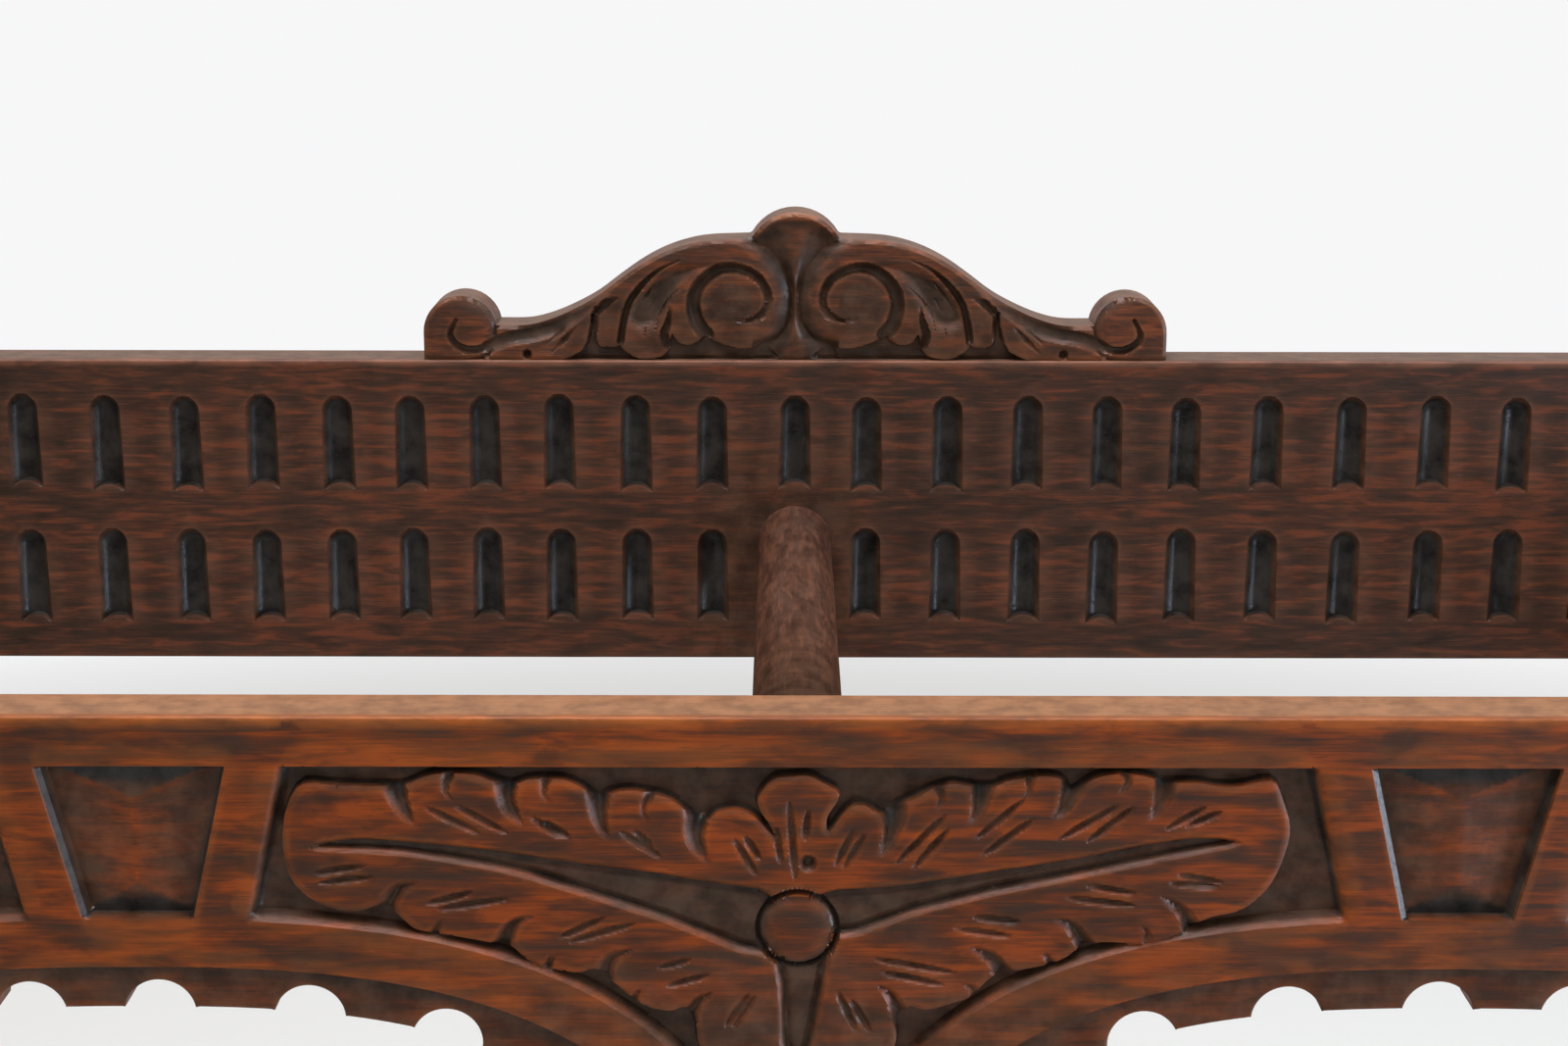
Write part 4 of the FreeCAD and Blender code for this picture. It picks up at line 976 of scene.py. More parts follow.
def crest_outline():
    """The pediment: a round cap in the middle, falling to a volute at each end."""
    cap_half, cap_z = 14.0, 0.83 * CREST_HEIGHT
    join = math.radians(11)
    start, stop = cap_half + 0.8, VOLUTE_X - VOLUTE_R * math.cos(join)
    slope = [
        (0, 0.822), (0.15, 0.812), (0.24, 0.786), (0.33, 0.735), (0.42, 0.655), (0.51, 0.548),
        (0.60, 0.433), (0.69, 0.347), (0.785, 0.278), (0.88, 0.238), (1, 0.234),
    ]
    slope = smooth_run([(start + t * (stop - start), z * CREST_HEIGHT) for t, z in slope])
    turn = np.linspace(join, math.pi, 20)
    volute = [VOLUTE_X - VOLUTE_R * np.cos(turn), VOLUTE_Z + VOLUTE_R * np.sin(turn)]
    rise = CREST_HEIGHT - cap_z
    cap_r = (cap_half**2 + rise**2) / (2 * rise)
    spread = math.asin(cap_half / cap_r)
    turn = np.linspace(0, spread, 8)
    cap = [cap_r * np.sin(turn), CREST_HEIGHT - cap_r + cap_r * np.cos(turn)]
    right = np.vstack([np.stack(cap, 1), slope, np.stack(volute, 1), [(CREST_HALF, 0)]])
    left = right[::-1][:-1] * [-1, 1]
    return np.vstack([left, right])[::-1]


CREST_GROUND = [
    (9.5, -1), (9, 4.2), (11, 4.7), (17, 3.9), (23, 5.2), (28.8, 7.6), (30.7, 6.8), (33.7, 5.1),
    (37.5, 5.7), (39.8, 8.5), (41.3, 3), (45, 0.8), (50.3, 0.6), (54.9, 3), (56.4, 4.9),
    (57.9, 4.4), (62.5, 4.5), (64, 6.8), (64.6, 12), (65, 16), (65.9, 15), (66.5, 8), (69, 3),
    (71, -1),
]
# how far from the middle the scroll's edge stands, at heights above the rail
SCROLL_EDGE = [
    (0, 14.5), (4.6, 12), (7.6, 5.7), (12.1, 2.6), (18.2, 1.1), (23.5, 1.5), (29.5, 4.2),
    (35.2, 8.7), (39, 13.5), (48, 16),
]
EYE, EYE_R, EYE_FACE_R = (21.0, 17.8), 9.4, 7.4
EYE_GROOVE = [
    (19.6, 13.4), (14.8, 12.9), (10.2, 15.4), (8.7, 20.4), (11, 25.7), (15.5, 28.8), (21.6, 30),
    (26.9, 28.2), (31.4, 23.5), (32.9, 18.2), (31.6, 12.1), (28.8, 8.3),
]
LEAF_HOLLOW = [
    (22, 31.4), (30, 32), (37, 31.8), (41, 30.5), (49, 25), (54.5, 18), (55.6, 12), (51, 8.6),
    (44.5, 9.5), (41.5, 13), (39, 17), (35.5, 23), (30, 28),
]
CREST_VEINS = [
    (1.0, 1.0, [(38, 25.5), (44.3, 20.4), (47.6, 14.4), (48.6, 8.3)]),
    (1.2, 1.2, [(38.5, 28.6), (45, 24.4), (50, 17.4), (51.4, 10.4)]),
    (1.0, 1.0, [(36, 24), (40, 20.5), (43.6, 15.4), (45, 10)]),
    (2.4, 2.0, [(37, 32.4), (43.5, 29.4), (49, 24.6), (53.6, 18.2), (55.5, 11.4), (56.3, 6)]),
]
# a lit hollow between the first two lobes, the drop over the third, and the gap beside it
CREST_HOLLOWS = [
    ((1.2, 2.6, 3.4), (0.8, 2.8, 3.0), 0.5, [(40.2, 17), (40.9, 12.4), (42.2, 8.6), (41.2, 5)]),
    ((0.8, 3.0, 2.6), (0.5, 2.4, 2.4), -0.4, [(56.8, 20.2), (60.5, 18.8), (63.9, 15.6)]),
    ((1.4, 2.6, 3.0), (1.6, 2.8, 3.0), 0.0, [(64.2, 17), (64.8, 11), (66, 5)]),
    ((0.8, 2.0, 1.0), (0.6, 1.6, 0.6), 0.0, [(71.2, 13.2), (79.7, 5.6)]),
    ((0.8, 2.0, 1.0), (0.6, 1.6, 0.6), 0.0, [(70.6, 10.6), (78.5, 2.6)]),
]
EYELET, EYELET_DEEP, CREST_SUNK = (86.6, 1.7), 3.2, 3.1
STEM_COVE = [(60, 23), (68, 16.4), (76, 11.4), (84, 8.5), (91, 7.2), (96, 5.6), (99.5, 3.8)]
END_GROOVE = [
    (109.2, 13), (111.3, 8.6), (109.8, 5.2), (105.6, 3.2), (100.4, 3.8), (96.6, 6.4),
]


def crest_relief(points):
    """Depth of the crest's carved face, and how dark it is; both halves are alike."""
    p = np.stack([np.abs(points[:, 0]), points[:, 1]], 1)
    x, z = p.T
    heights, places = smooth_run(SCROLL_EDGE).T
    scroll = np.interp(z, heights, places)
    # two hollow facets meet in an upright ridge in the middle
    facet = 0.9 + 2.7 * smooth_step(x / scroll, 0, 1)
    facet *= np.clip((CREST_HEIGHT - 1.4 - z - x**2 / 28) / 5.0, 0, 1) ** 0.6
    # the scroll's band rounds over towards the middle
    band = 0.3 + 2.8 * (1 - np.clip((x - scroll) / 8.0, 0, 1)) ** 1.9
    band = np.where((x < 26) & (z > EYE[1] - 8), band, 0.3 + (band - 0.3) * (x < 14))
    depth = band + (facet - band) * smooth_step(scroll - x, -0.1, 0.6)
    hollow = signed_distance(p, smooth_run(LEAF_HOLLOW, True, 3), 4)
    depth = np.maximum(depth, 0.3 + 1.7 * smooth_step(hollow, 0, 5.2))
    channel(depth, p, EYE_GROOVE, (1.6, 3.8, 5.2), (1.6, 3.1, 3.2), -0.35)
    eye = np.hypot(x - EYE[0], z - EYE[1])
    dome = 0.3 + 1.2 * np.clip(eye / EYE_R, 0, 1) ** 3
    in_eye = eye < EYE_FACE_R
    depth = np.where(in_eye, np.minimum(depth, dome), depth)
    for width, deep, run in CREST_VEINS:
        end = 1.0 if width > 2 else 0.4
        channel(depth, p, run, (0.6, width, width * end), (0.6, deep + 1.2, (deep + 1.2) * end))
    channel(depth, p, STEM_COVE, (3.0, 5.4, 4.6), (0.8, 2.1, 2.2), 0.3)
    for widths, deeps, lean, run in CREST_HOLLOWS:
        channel(depth, p, run, widths, deeps, lean)
    # the end volute rounds over towards the middle too
    rim = VOLUTE_R - np.hypot(x - VOLUTE_X, z - VOLUTE_Z)
    over = 1.7 * (1 - np.clip(rim / 5.5, 0, 1)) ** 2 * smooth_step(VOLUTE_X - x, -6, 8)
    depth = np.where(rim > 0, np.minimum(np.maximum(depth, 0.3 + over), 2.6), depth)
    channel(depth, p, END_GROOVE, (1.4, 2.8, 2.8), (1.4, 2.8, 2.2), -0.4)
    hole = np.hypot((x - EYELET[0]) / 1.3, (z - EYELET[1]) / 1.5)
    depth = np.maximum(depth, EYELET_DEEP * np.clip(1.4 - hole, 0, 1))
    ground = signed_distance(p, smooth_run(CREST_GROUND, True, 3), 2)
    depth = np.maximum(depth, CREST_SUNK * smooth_step(ground, -0.15, 0.5))
    # the eyes and the low ground between the leaves are darker than the scrolls' backs
    low = 0.5 * (1 - smooth_step(z, 10, 26)) * (1 - smooth_step(x, 70, 95))
    dark = np.maximum(np.minimum(stained(depth), 0.85), np.where(in_eye, 0.7, low))
    return depth + 0.07 * ripple(points, 6, 21), dark


def crest_rows():
    """Runs along which the crest's face turns."""
    edge = np.array([(x, z) for z, x in SCROLL_EDGE if z < 42])
    edge = smooth_run(edge, pieces=8)
    ground = smooth_run(CREST_GROUND, True, 3)
    groove = smooth_run(EYE_GROOVE)
    runs = [circle(EYE_FACE_R) + EYE, edge, beside(edge, 0.35), beside(edge, -0.35), ground]
    runs += [beside(ground, 0.5, True), groove, beside(groove, 1.0), beside(groove, -1.0)]
    rows = [run * [side, 1] for run in runs for side in (-1, 1)]
    return rows + [[(0, 0), (0, 47)]]


# ---- turned and square work ----
def square_angles():
    """Angles round a post that put enough points on its softened corners."""
    along = [-0.93, -0.8, -0.6, -0.4, -0.2, 0, 0.2, 0.4, 0.6, 0.8, 0.93]
    corner = np.radians([43.6, 44.3, 45, 45.7, 46.4])
    quarter = np.sort(np.concatenate([np.arctan(along), corner]))
    return np.concatenate([quarter + k * math.pi / 2 for k in range(4)])


ANGLES = square_angles()
POST_ROUND = 1.6  # radius of a square post's softened corners


def ring(kind, size):
    """Points round a post's axis: a circle of this radius, or a square of this half width."""
    if kind == "round":
        radius = np.full(len(ANGLES), size)
    else:
        folded = np.abs((ANGLES + math.pi / 4) % (math.pi / 2) - math.pi / 4)
        radius = size / np.cos(folded)
        corner = size - POST_ROUND
        reach = corner * math.sqrt(2)
        away = math.pi / 4 - folded
        rest = np.clip(POST_ROUND**2 - (reach * np.sin(away)) ** 2, 0, None)
        arc = reach * np.cos(away) + np.sqrt(rest)
        radius = np.where(size * np.tan(folded) > corner, arc, radius)
    return np.stack([radius * np.cos(ANGLES), radius * np.sin(ANGLES)], 1)


def loft(name, rings):
    """A closed skin over rings of equal count, capped at both ends."""
    count = len(rings[0])
    vertices = np.vstack(rings)
    faces = []
    for k in range(len(rings) - 1):
        for i in range(count):
            j = (i + 1) % count
            faces.append((k * count + i, k * count + j, (k + 1) * count + j, (k + 1) * count + i))
    for k in (0, len(rings) - 1):
        middle = len(vertices)
        vertices = np.vstack([vertices, rings[k].mean(0)[None]])
        for i in range(count):
            faces.append((k * count + i, k * count + (i + 1) % count, middle))
    piece = new_object(name, vertices, faces)
    mark_surface(piece)
    return piece


def arc_points(start, middle, end, count=9):
    """Points on the circle through three points of a turning's outline."""
    a, b, c = (np.array(p, float) for p in (start, middle, end))
    matrix = np.array([b - a, c - a]) * 2
    centre = np.linalg.solve(matrix, [b @ b - a @ a, c @ c - a @ a])
    radius = np.hypot(*(a - centre))
    first, mid, last = (math.atan2(*(p - centre)[::-1]) for p in (a, b, c))
    turn = 2 * math.pi
    span = (last - first) % turn
    if (mid - first) % turn > span:
        span -= turn
    angle = first + span * np.linspace(0, 1, count)
    return list(zip(centre[0] + radius * np.cos(angle), centre[1] + radius * np.sin(angle)))


def bead(radius, z, height, swell):
    """A half-round ring on a turning."""
    return arc_points((radius, z), (radius + swell, z + height / 2), (radius, z + height))


def baluster(z0, z1, r):
    """The outline of a turned stretch: two beads, a vase, a ring, a long neck and two beads."""
    swell, bead_h = 0.16 * r, 0.42 * r
    vase_bottom = z0 + 2.4 * bead_h
    vase_top = vase_bottom + 0.38 * (z1 - z0)
    neck_top = z1 - 2.4 * bead_h
    neck_base = vase_top + 1.6 * bead_h
    vase_run, neck_run = vase_top - vase_bottom, neck_top - neck_base
    vase = [(0.55, 0), (0.78, 0.16), (0.98, 0.42), (0.80, 0.72), (0.55, 1)]
    neck = [(0.70, 0), (0.52, 0.15), (0.50, 0.45), (0.62, 0.80), (0.80, 1)]
    vase = smooth_run([(w * r, vase_bottom + t * vase_run) for w, t in vase], pieces=10)
    neck = smooth_run([(w * r, neck_base + t * neck_run) for w, t in neck], pieces=12)
    foot_bead, small_bead = z0 + 0.2 * bead_h, z0 + 1.4 * bead_h
    outline = [(0.84 * r, z0)] + bead(0.84 * r, foot_bead, bead_h, swell)
    outline += bead(0.66 * r, small_bead, 0.6 * bead_h, swell)
    outline += [tuple(p) for p in vase] + bead(0.66 * r, vase_top, bead_h, 1.6 * swell)
    outline += [tuple(p) for p in neck] + bead(0.80 * r, neck_top, bead_h, swell)
    outline += [(0.66 * r, neck_top + bead_h), (0.66 * r, neck_top + 1.4 * bead_h)]
    return outline + [(0.84 * r, neck_top + 1.4 * bead_h), (0.84 * r, z1)]


def foot(height, r):
    """The outline of a turned bun foot with a ring above it."""
    start, middle, end = (0.72 * r, 0), (1.08 * r, 0.30 * height), (0.62 * r, 0.66 * height)
    outline = [(0.66 * r, 0)] + arc_points(start, middle, end, 22)
    outline += bead(0.78 * r, 0.66 * height, 0.18 * height, swell=0.16 * r)
    return outline + [(0.70 * r, 0.84 * height), (0.70 * r, height)]


def block(half, z0, z1):
    """The rings of a square stretch, its end edges softened."""
    soft = 1.0
    steps = [(z0, soft), (z0 + 0.3 * soft, 0.3 * soft), (z0 + soft, 0)]
    length = z1 - z0
    middle = [(z0 + length * t, 0) for t in (0.1, 0.3, 0.5, 0.7, 0.9)]
    end = [(z1 - soft, 0), (z1 - 0.3 * soft, 0.3 * soft), (z1, soft)]
    return [("square", half - inset, z) for z, inset in steps + middle + end]


def turned(outline):
    """The rings of a turned stretch."""
    return [("round", radius, z) for radius, z in outline]


def stand_up(name, sections, x, y):
    """A post or column from its stretches, about an upright axis."""
    rings = []
    for kind, size, z in sections:
        flat = ring(kind, size)
        rings.append(np.column_stack([flat[:, 0] + x, flat[:, 1] + y, np.full(len(flat), z)]))
    return loft(name, rings)


BLOCK_REACH, BLOCK_CHAMFER, CAP_HEIGHT = 10.0, 1.5, 7.0
POST_TURNING_R, COLUMN_TURNING_R, COLUMN_FOOT, COLUMN_HEAD = 19.0, 16.0, 30.0, 18.0
BASE_TOP, BASE_BOTTOM = base_high[2], base_low[2]


def post(name):
    """One corner post from the floor to its low pyramid."""
    low, high = node_box(name)
    x, y = (low[0] + high[0]) / 2, (low[1] + high[1]) / 2
    half, top = POST / 2, high[2]
    foot_top = BASE_BOTTOM - BLOCK_REACH
    lower_top, upper_bottom = BASE_TOP + BLOCK_REACH, rail_low[2] - BLOCK_REACH
    sections = turned(foot(foot_top, half - 2.0)) + block(half, foot_top, lower_top)
    sections += turned(baluster(lower_top, upper_bottom, POST_TURNING_R))
    sections += block(half, upper_bottom, top - CAP_HEIGHT)
    cap = half - BLOCK_CHAMFER
    for share in (1, 0.75, 0.5, 0.25, 0.04):
        sections.append(("square", cap * share, top - CAP_HEIGHT * share))
    return stand_up("oak_" + name, sections, x, y)


def column():
    """The turned column under the pendant."""
    low, high = node_box("column")
    x, y, half = 0.0, (low[1] + high[1]) / 2, (high[0] - low[0]) / 2
    foot_top, neck = low[2] + COLUMN_FOOT, high[2] - COLUMN_HEAD
    sections = block(half, low[2], foot_top)
    sections += turned(baluster(foot_top, neck, COLUMN_TURNING_R))
    sections += block(half, neck, high[2])
    return stand_up("oak_column", sections, x, y)


def divider_bar():
    """The round-topped bar between the compartments."""
    low, high = node_box("divider_bar")
    half = (high[0] - low[0]) / 2
    reach = rail_low[1] + THICK
    bottom, top = low[2], high[2]
    soft = 1.2
    turn = np.linspace(0, math.pi, 33)
    arch = [(half * math.cos(t), top - half + half * math.sin(t)) for t in turn]
    wall = [(-half, bottom + (top - half - bottom) * t) for t in (0.75, 0.5, 0.25)]
    wall += [(-half, bottom + soft), (-half + 0.3 * soft, bottom + 0.3 * soft)]
    lower = [(half * t, bottom) for t in (-0.89, -0.6, -0.3, 0, 0.3, 0.6, 0.89)]
    section = np.array(arch + wall + lower + [(-x, z) for x, z in wall[::-1]])
    rings = []
    for y in np.linspace(reach, -reach, 70):
        wave = 0.12 * math.sin(y / 17.0) + 0.08 * math.sin(y / 7.3 + 1)
        across, height = section.T
        lift = (height > top - half) * wave * (height - top + half) / half
        rings.append(np.column_stack([across, np.full(len(across), y), height - 0.2 + lift]))
    bar = loft("oak_divider_bar", rings)
    x, y, _ = np.array([v.co for v in bar.data.vertices]).T / MM
    # painted shade and dirt most of all at its back end, wear at its front end and along its right
    # side
    stain_and_shade = 0.15 + 0.65 * smooth_step(y, 0, reach - THICK)
    front_end = smooth_step(-y, reach - 36, reach - 28) * (1 - smooth_step(np.abs(x), 5, 9))
    worn = 0.30 * front_end + 0.12 * smooth_step(x / half, 0.75, 0.98)
    mark_surface(bar, stain_and_shade, worn * (1 - stain_and_shade), np.ones(len(x)))
    return bar


# ---- materials ----
BUMP_DEPTH = 0.3  # millimetres


class Shading:
    """Short ways to add the nodes of a material or a world and to join them."""

    def __init__(self, owner):
        owner.use_nodes = True
        self.tree = owner.node_tree
        self.tree.nodes.clear()

    def add(self, kind, inputs=(), **settings):
        """A node with its settings; each of its inputs gets a value or a link from a socket."""
        node = self.tree.nodes.new("ShaderNode" + kind)
        for key, value in settings.items():
            setattr(node, key, value)
        for key, value in dict(inputs).items():
            if isinstance(value, bpy.types.NodeSocket):
                self.tree.links.new(value, node.inputs[key])
            else:
                node.inputs[key].default_value = value
        return node

    def noise(self, scale, detail=3.0, rough=0.55, bend=0.0):
        """A noise in the object's space; scale gives the waves per millimetre on each axis."""
        place = self.add("TexCoord").outputs["Object"]
        stretch = self.add("Mapping", {"Vector": place, "Scale": [s / MM for s in scale]})
        grain = {"Detail": detail, "Roughness": rough, "Distortion": bend, "Scale": 1.0}
        grain["Vector"] = stretch.outputs[0]
        return self.add("TexNoise", grain).outputs["Fac"]

    def ramp(self, value, stops):
        """A colour ramp over a value."""
        made = self.add("ValToRGB", {"Fac": value})
        elements = made.color_ramp.elements
        while len(elements) < len(stops):
            elements.new(0.5)
        for element, (place, colour) in zip(elements, stops):
            element.position = place
            element.color = (*colour, 1)
        return made.outputs[0]

    def shades(self, value, low, first, high, last):
        """A grey that goes from the first tone at low to the last at high."""
        return self.ramp(value, [(low, (first,) * 3), (high, (last,) * 3)])

    def mix(self, factor, first, second, kind="MIX"):
        """The second colour over the first, or their product; a tone or a socket each."""
        colours = [(*c, 1) if isinstance(c, tuple) else c for c in (first, second)]
        inputs = {0: factor, 6: colours[0], 7: colours[1]}
        return self.add("Mix", inputs, data_type="RGBA", blend_type=kind).outputs[2]

    def math_node(self, kind, first, second, clamp=False):
        """A reckoning with two values, a number or a socket each; clamp keeps it from 0 to 1."""
        made = self.add("Math", {0: first, 1: second}, operation=kind, use_clamp=clamp)
        return made.outputs[0]

    def times(self, first, second, clamp=False):
        return self.math_node("MULTIPLY", first, second, clamp)

    def plus(self, first, second, clamp=False):
        return self.math_node("ADD", first, second, clamp)

    def weighted(self, *parts):
        """A sum of values, each with its weight."""
        total = self.times(*parts[0])
        for value, weight in parts[1:]:
            total = self.plus(total, self.times(value, weight))
        return total

    def surface(self, colour, rough, height, strength, **rest):
        """Joins a shader with a bumpy surface to the material's output."""
        bump = {"Strength": strength, "Distance": BUMP_DEPTH * MM, "Height": height}
        normal = self.add("Bump", bump).outputs[0]
        inputs = {"Base Color": colour, "Roughness": rough, "Normal": normal, **rest}
        shader = self.add("BsdfPrincipled", inputs)
        self.add("OutputMaterial", {"Surface": shader.outputs[0]})


WAX_SHALLOW, WAX_DEEP = (0.080, 0.038, 0.022), (0.042, 0.026, 0.017)
# the nearly black tone of the deepest cuts is partly wax and partly painted shadow
WAX_AND_SHADOW_BLACK, PORE_TONE = (0.024, 0.021, 0.019), (0.018, 0.010, 0.007)
# edges are painted paler, partly as wear and partly as a painted highlight
WEAR_AND_HIGHLIGHT_PALENESS = (1.75, 2.6, 3.6)  # how much paler a worn edge is than the wood's bright tone
# upward faces' tones: rubbed wood and painted light from above
DULL_TOP, TOP_WEAR_AND_LIGHT_GAIN = 0.62, (1.35, 1.35, 1.35)


def along(axis, length, across):
    """Waves per millimetre for a figure drawn out along one axis."""
    return [1 / length if i == axis else 1 / across for i in range(3)]


def make_oak(name, axis, tones, top, stains=0.6, size=1.0, gloss=0.11):
    """Old waxed oak with its grain along one axis.

    top is the paler tone of upward faces, rubbed wood with painted light from above, and size the
    scale of the orange figure.
    """
    dark, middle, bright = tones
    material = bpy.data.materials.new(name)
    make = Shading(material)
    patches = make.noise(along(axis, 26 * size, 4.0 * size), 2.0, 0.5, 0.5)
    streaks = make.noise(along(axis, 16, 0.55), 3.0, 0.6, 0.2)
    broad = make.noise(along(axis, 110, 24), 2.0, 0.5, 0.3)
    mottle = make.noise((1 / 7, 1 / 7, 1 / 7), 4.0, 0.6)
    smudges = make.noise(along(axis, 17, 6), 3.0, 0.55, 0.4)
    pores = make.noise(along(axis, 5, 0.34), 2.0, 0.5)
    figure = make.weighted((patches, 0.54), (streaks, 0.26), (broad, 0.20))
    colour = make.ramp(figure, [(0.40, dark), (0.50, middle), (0.61, bright)])
    smudge = make.shades(smudges, 0.52, 0, 0.68, stains)
    colour = make.mix(smudge, colour, tuple(0.6 * c for c in dark))
    dashes = make.shades(pores, 0.58, 0, 0.70, 1)
    colour = make.mix(make.times(dashes, 0.42), colour, PORE_TONE)
    # upward faces are painted paler, except on the carving: rubbed wood and dust, and painted light
    # from above
    normal = make.add("TexCoord").outputs["Normal"]
    facing = make.add("SeparateXYZ", {"Vector": normal}).outputs["Z"]
    hollow, edge, carved = (
        make.add("Attribute", attribute_name=label).outputs["Fac"]
        for label in ("hollow", "edge", "carved")
    )
    uncut = make.math_node("SUBTRACT", 1.0, carved, True)
    upward = make.times(make.shades(facing, 0.70, 0, 0.93, 1), uncut)
    rubbed_and_lit_top = make.ramp(mottle, [(0.36, tuple(DULL_TOP * c for c in top)), (0.62, top)])
    rubbed_and_lit_top = make.mix(0.6, rubbed_and_lit_top, streaks, "MULTIPLY")
    rubbed_and_lit_top = make.mix(1.0, rubbed_and_lit_top, TOP_WEAR_AND_LIGHT_GAIN, "MULTIPLY")
    colour = make.mix(upward, colour, rubbed_and_lit_top)
    # edges are painted paler, patchily: worn wood and a painted highlight
    patchy_edge = make.shades(smudges, 0.35, 1.0, 0.62, 0.35)
    pale = tuple(share * c for share, c in zip(WEAR_AND_HIGHLIGHT_PALENESS, bright))
    colour = make.mix(make.times(edge, patchy_edge), colour, pale)
    # shallow hollows hold brown wax; the hollow value also carries painted shade, and the deepest
    # cuts are painted nearly black, partly wax and partly painted shadow
    layers = make.ramp(hollow, [(0.45, WAX_SHALLOW), (0.85, WAX_DEEP), (0.97, WAX_AND_SHADOW_BLACK)])
    uneven = make.shades(mottle, 0.38, 0.55, 0.62, 1.45)
    wax_and_shade = make.mix(1.0, layers, uneven, "MULTIPLY")
    colour = make.mix(make.times(hollow, 1.0, True), colour, wax_and_shade)
    rough = make.weighted((mottle, 0.20), (dashes, 0.12), (upward, 0.12), (hollow, -0.20))
    rough = make.plus(rough, 0.40, True)
    height = make.weighted((dashes, -0.5), (figure, 1.0))
    make.surface(colour, rough, height, 0.4, **{"Specular IOR Level": gloss})
    return material


def make_metal(name, colour, tarnish, rough, size=8.0):
    """Sheet metal or steel, blotched by age."""
    material = bpy.data.materials.new(name)
    make = Shading(material)
    blotches = make.noise((1 / size,) * 3, 5.0, 0.6)
    spots = make.noise((1 / 1.6,) * 3, 3.0, 0.6)
    tint = make.ramp(blotches, [(0.40, colour), (0.62, tarnish)])
    tint = make.mix(1.0, tint, make.shades(spots, 0.60, 1.0, 0.72, 0.45), "MULTIPLY")
    rough = make.plus(make.times(blotches, 0.35), rough, True)
    make.surface(tint, rough, blotches, 0.25, Metallic=1.0)
    return material


X_AXIS, Y_AXIS, Z_AXIS = 0, 1, 2
FRONT_TONES = ((0.038, 0.017, 0.009), (0.090, 0.022, 0.006), (0.214, 0.040, 0.005))
DARK_TONES = ((0.032, 0.017, 0.010), (0.058, 0.024, 0.013), (0.135, 0.038, 0.016))
CREST_TONES = ((0.036, 0.018, 0.010), (0.082, 0.028, 0.013), (0.180, 0.049, 0.016))
BAR_TONES = ((0.044, 0.020, 0.014), (0.080, 0.034, 0.022), (0.150, 0.060, 0.034))
BARE_TONES = ((0.110, 0.062, 0.032), (0.190, 0.115, 0.060), (0.290, 0.185, 0.105))
PEG_TONES = ((0.040, 0.016, 0.008), (0.090, 0.035, 0.014), (0.170, 0.070, 0.030))
FRONT_PALE, DARK_PALE, BARE_PALE = (0.36, 0.168, 0.08), (0.17, 0.10, 0.07), (0.26, 0.17, 0.10)
OAK = [make_oak(f"carved_oak_{k}", k, FRONT_TONES, FRONT_PALE) for k in range(3)]
DARK_OAK = [make_oak(f"dark_oak_{k}", k, DARK_TONES, DARK_PALE, size=0.6) for k in range(3)]
PLAIN_OAK = [make_oak(f"plain_oak_{k}", k, BARE_TONES, BARE_PALE) for k in range(2)]
BAR_OAK = make_oak("bar_oak", Y_AXIS, BAR_TONES, DARK_PALE, stains=0.4, size=0.5, gloss=0.0)
CREST_OAK = make_oak("crest_oak", X_AXIS, CREST_TONES, DARK_PALE, size=0.6)
PEG_OAK = make_oak("oak_pegs", Y_AXIS, PEG_TONES, DARK_PALE)
TRAY_METAL = make_metal("tray_metal", (0.16, 0.155, 0.15), (0.06, 0.05, 0.045), 0.28)
SCREW_STEEL = make_metal("screw_steel", (0.33, 0.32, 0.31), (0.14, 0.10, 0.07), 0.25, size=2.0)


def cover(node, material):
    """Gives a piece or a CAD node its only material."""
    node.data.materials.clear()
    node.data.materials.append(material)


def finish(piece, material, node):
    """Gives a piece its material and body, and hides the node that it stands for."""
    cover(piece, material)
    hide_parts(node)
    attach(piece, "root")


def dress(names, material, soften=0.0):
    """Gives CAD nodes that stay their material, and softens their edges."""
    for name in names:
        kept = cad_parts[name]
        cover(kept, material)
        if soften:
            weld = kept.modifiers.new("weld", "WELD")
            weld.merge_threshold = 0.02 * MM
            bevel = kept.modifiers.new("soft_edges", "BEVEL")
            bevel.width = soften * MM
            bevel.segments = 2
            bevel.limit_method = "ANGLE"
            bevel.angle_limit = math.radians(40)


# ---- the rails and the crest ----
# painted shade and dirt on the back rail round the divider bar's joint
BAR_JOINT_CENTRE, BAR_SHADE_AND_DIRT = (-5, -78), 0.62
FLUTES_TOP, FLUTES_GAP, FLUTES_FOOT = 11.0, 12.0, 12.0  # plain wood above, between and below
FLUTE_LENGTH = (BACK_HEIGHT - FLUTES_TOP - FLUTES_GAP - FLUTES_FOOT) / 2


def darker_at_bar(depth, points, dark):
    """Painted shade and old dirt round the joint of the divider bar."""
    away = np.hypot(points[:, 0] - BAR_JOINT_CENTRE[0], 0.6 * (points[:, 1] - BAR_JOINT_CENTRE[1]))
    return np.maximum(dark, BAR_SHADE_AND_DIRT * (1 - smooth_step(away, 14, 42)))


def front_rail():
    place = facing_front(rail_low[1], FRONT_TOP)
    outline, rows = front_outline(), front_rows()
    return carved_board("oak_front_rail", outline, front_relief, rows, FRONT_AREAS, place)


def back_rail():
    lower = -FLUTES_TOP - FLUTES_GAP - FLUTE_LENGTH
    bands = [(BACK_FLUTES, top, FLUTE_LENGTH) for top in (-FLUTES_TOP, lower)]
    place = facing_front(back_high[1] - THICK, BACK_TOP)
    outline = rectangle(INNER_X, BACK_HEIGHT)
    return fluted_board("oak_back_rail", outline, bands, place, (darker_at_bar, [], []))


def crest():
    place = facing_front(crest_low[1], crest_low[2])
    everywhere = [(lambda points: np.ones(len(points), bool), 0.5)]
    outline, rows = crest_outline()[::-1], crest_rows()
    return carved_board("oak_crest", outline, crest_relief, rows, everywhere, place)


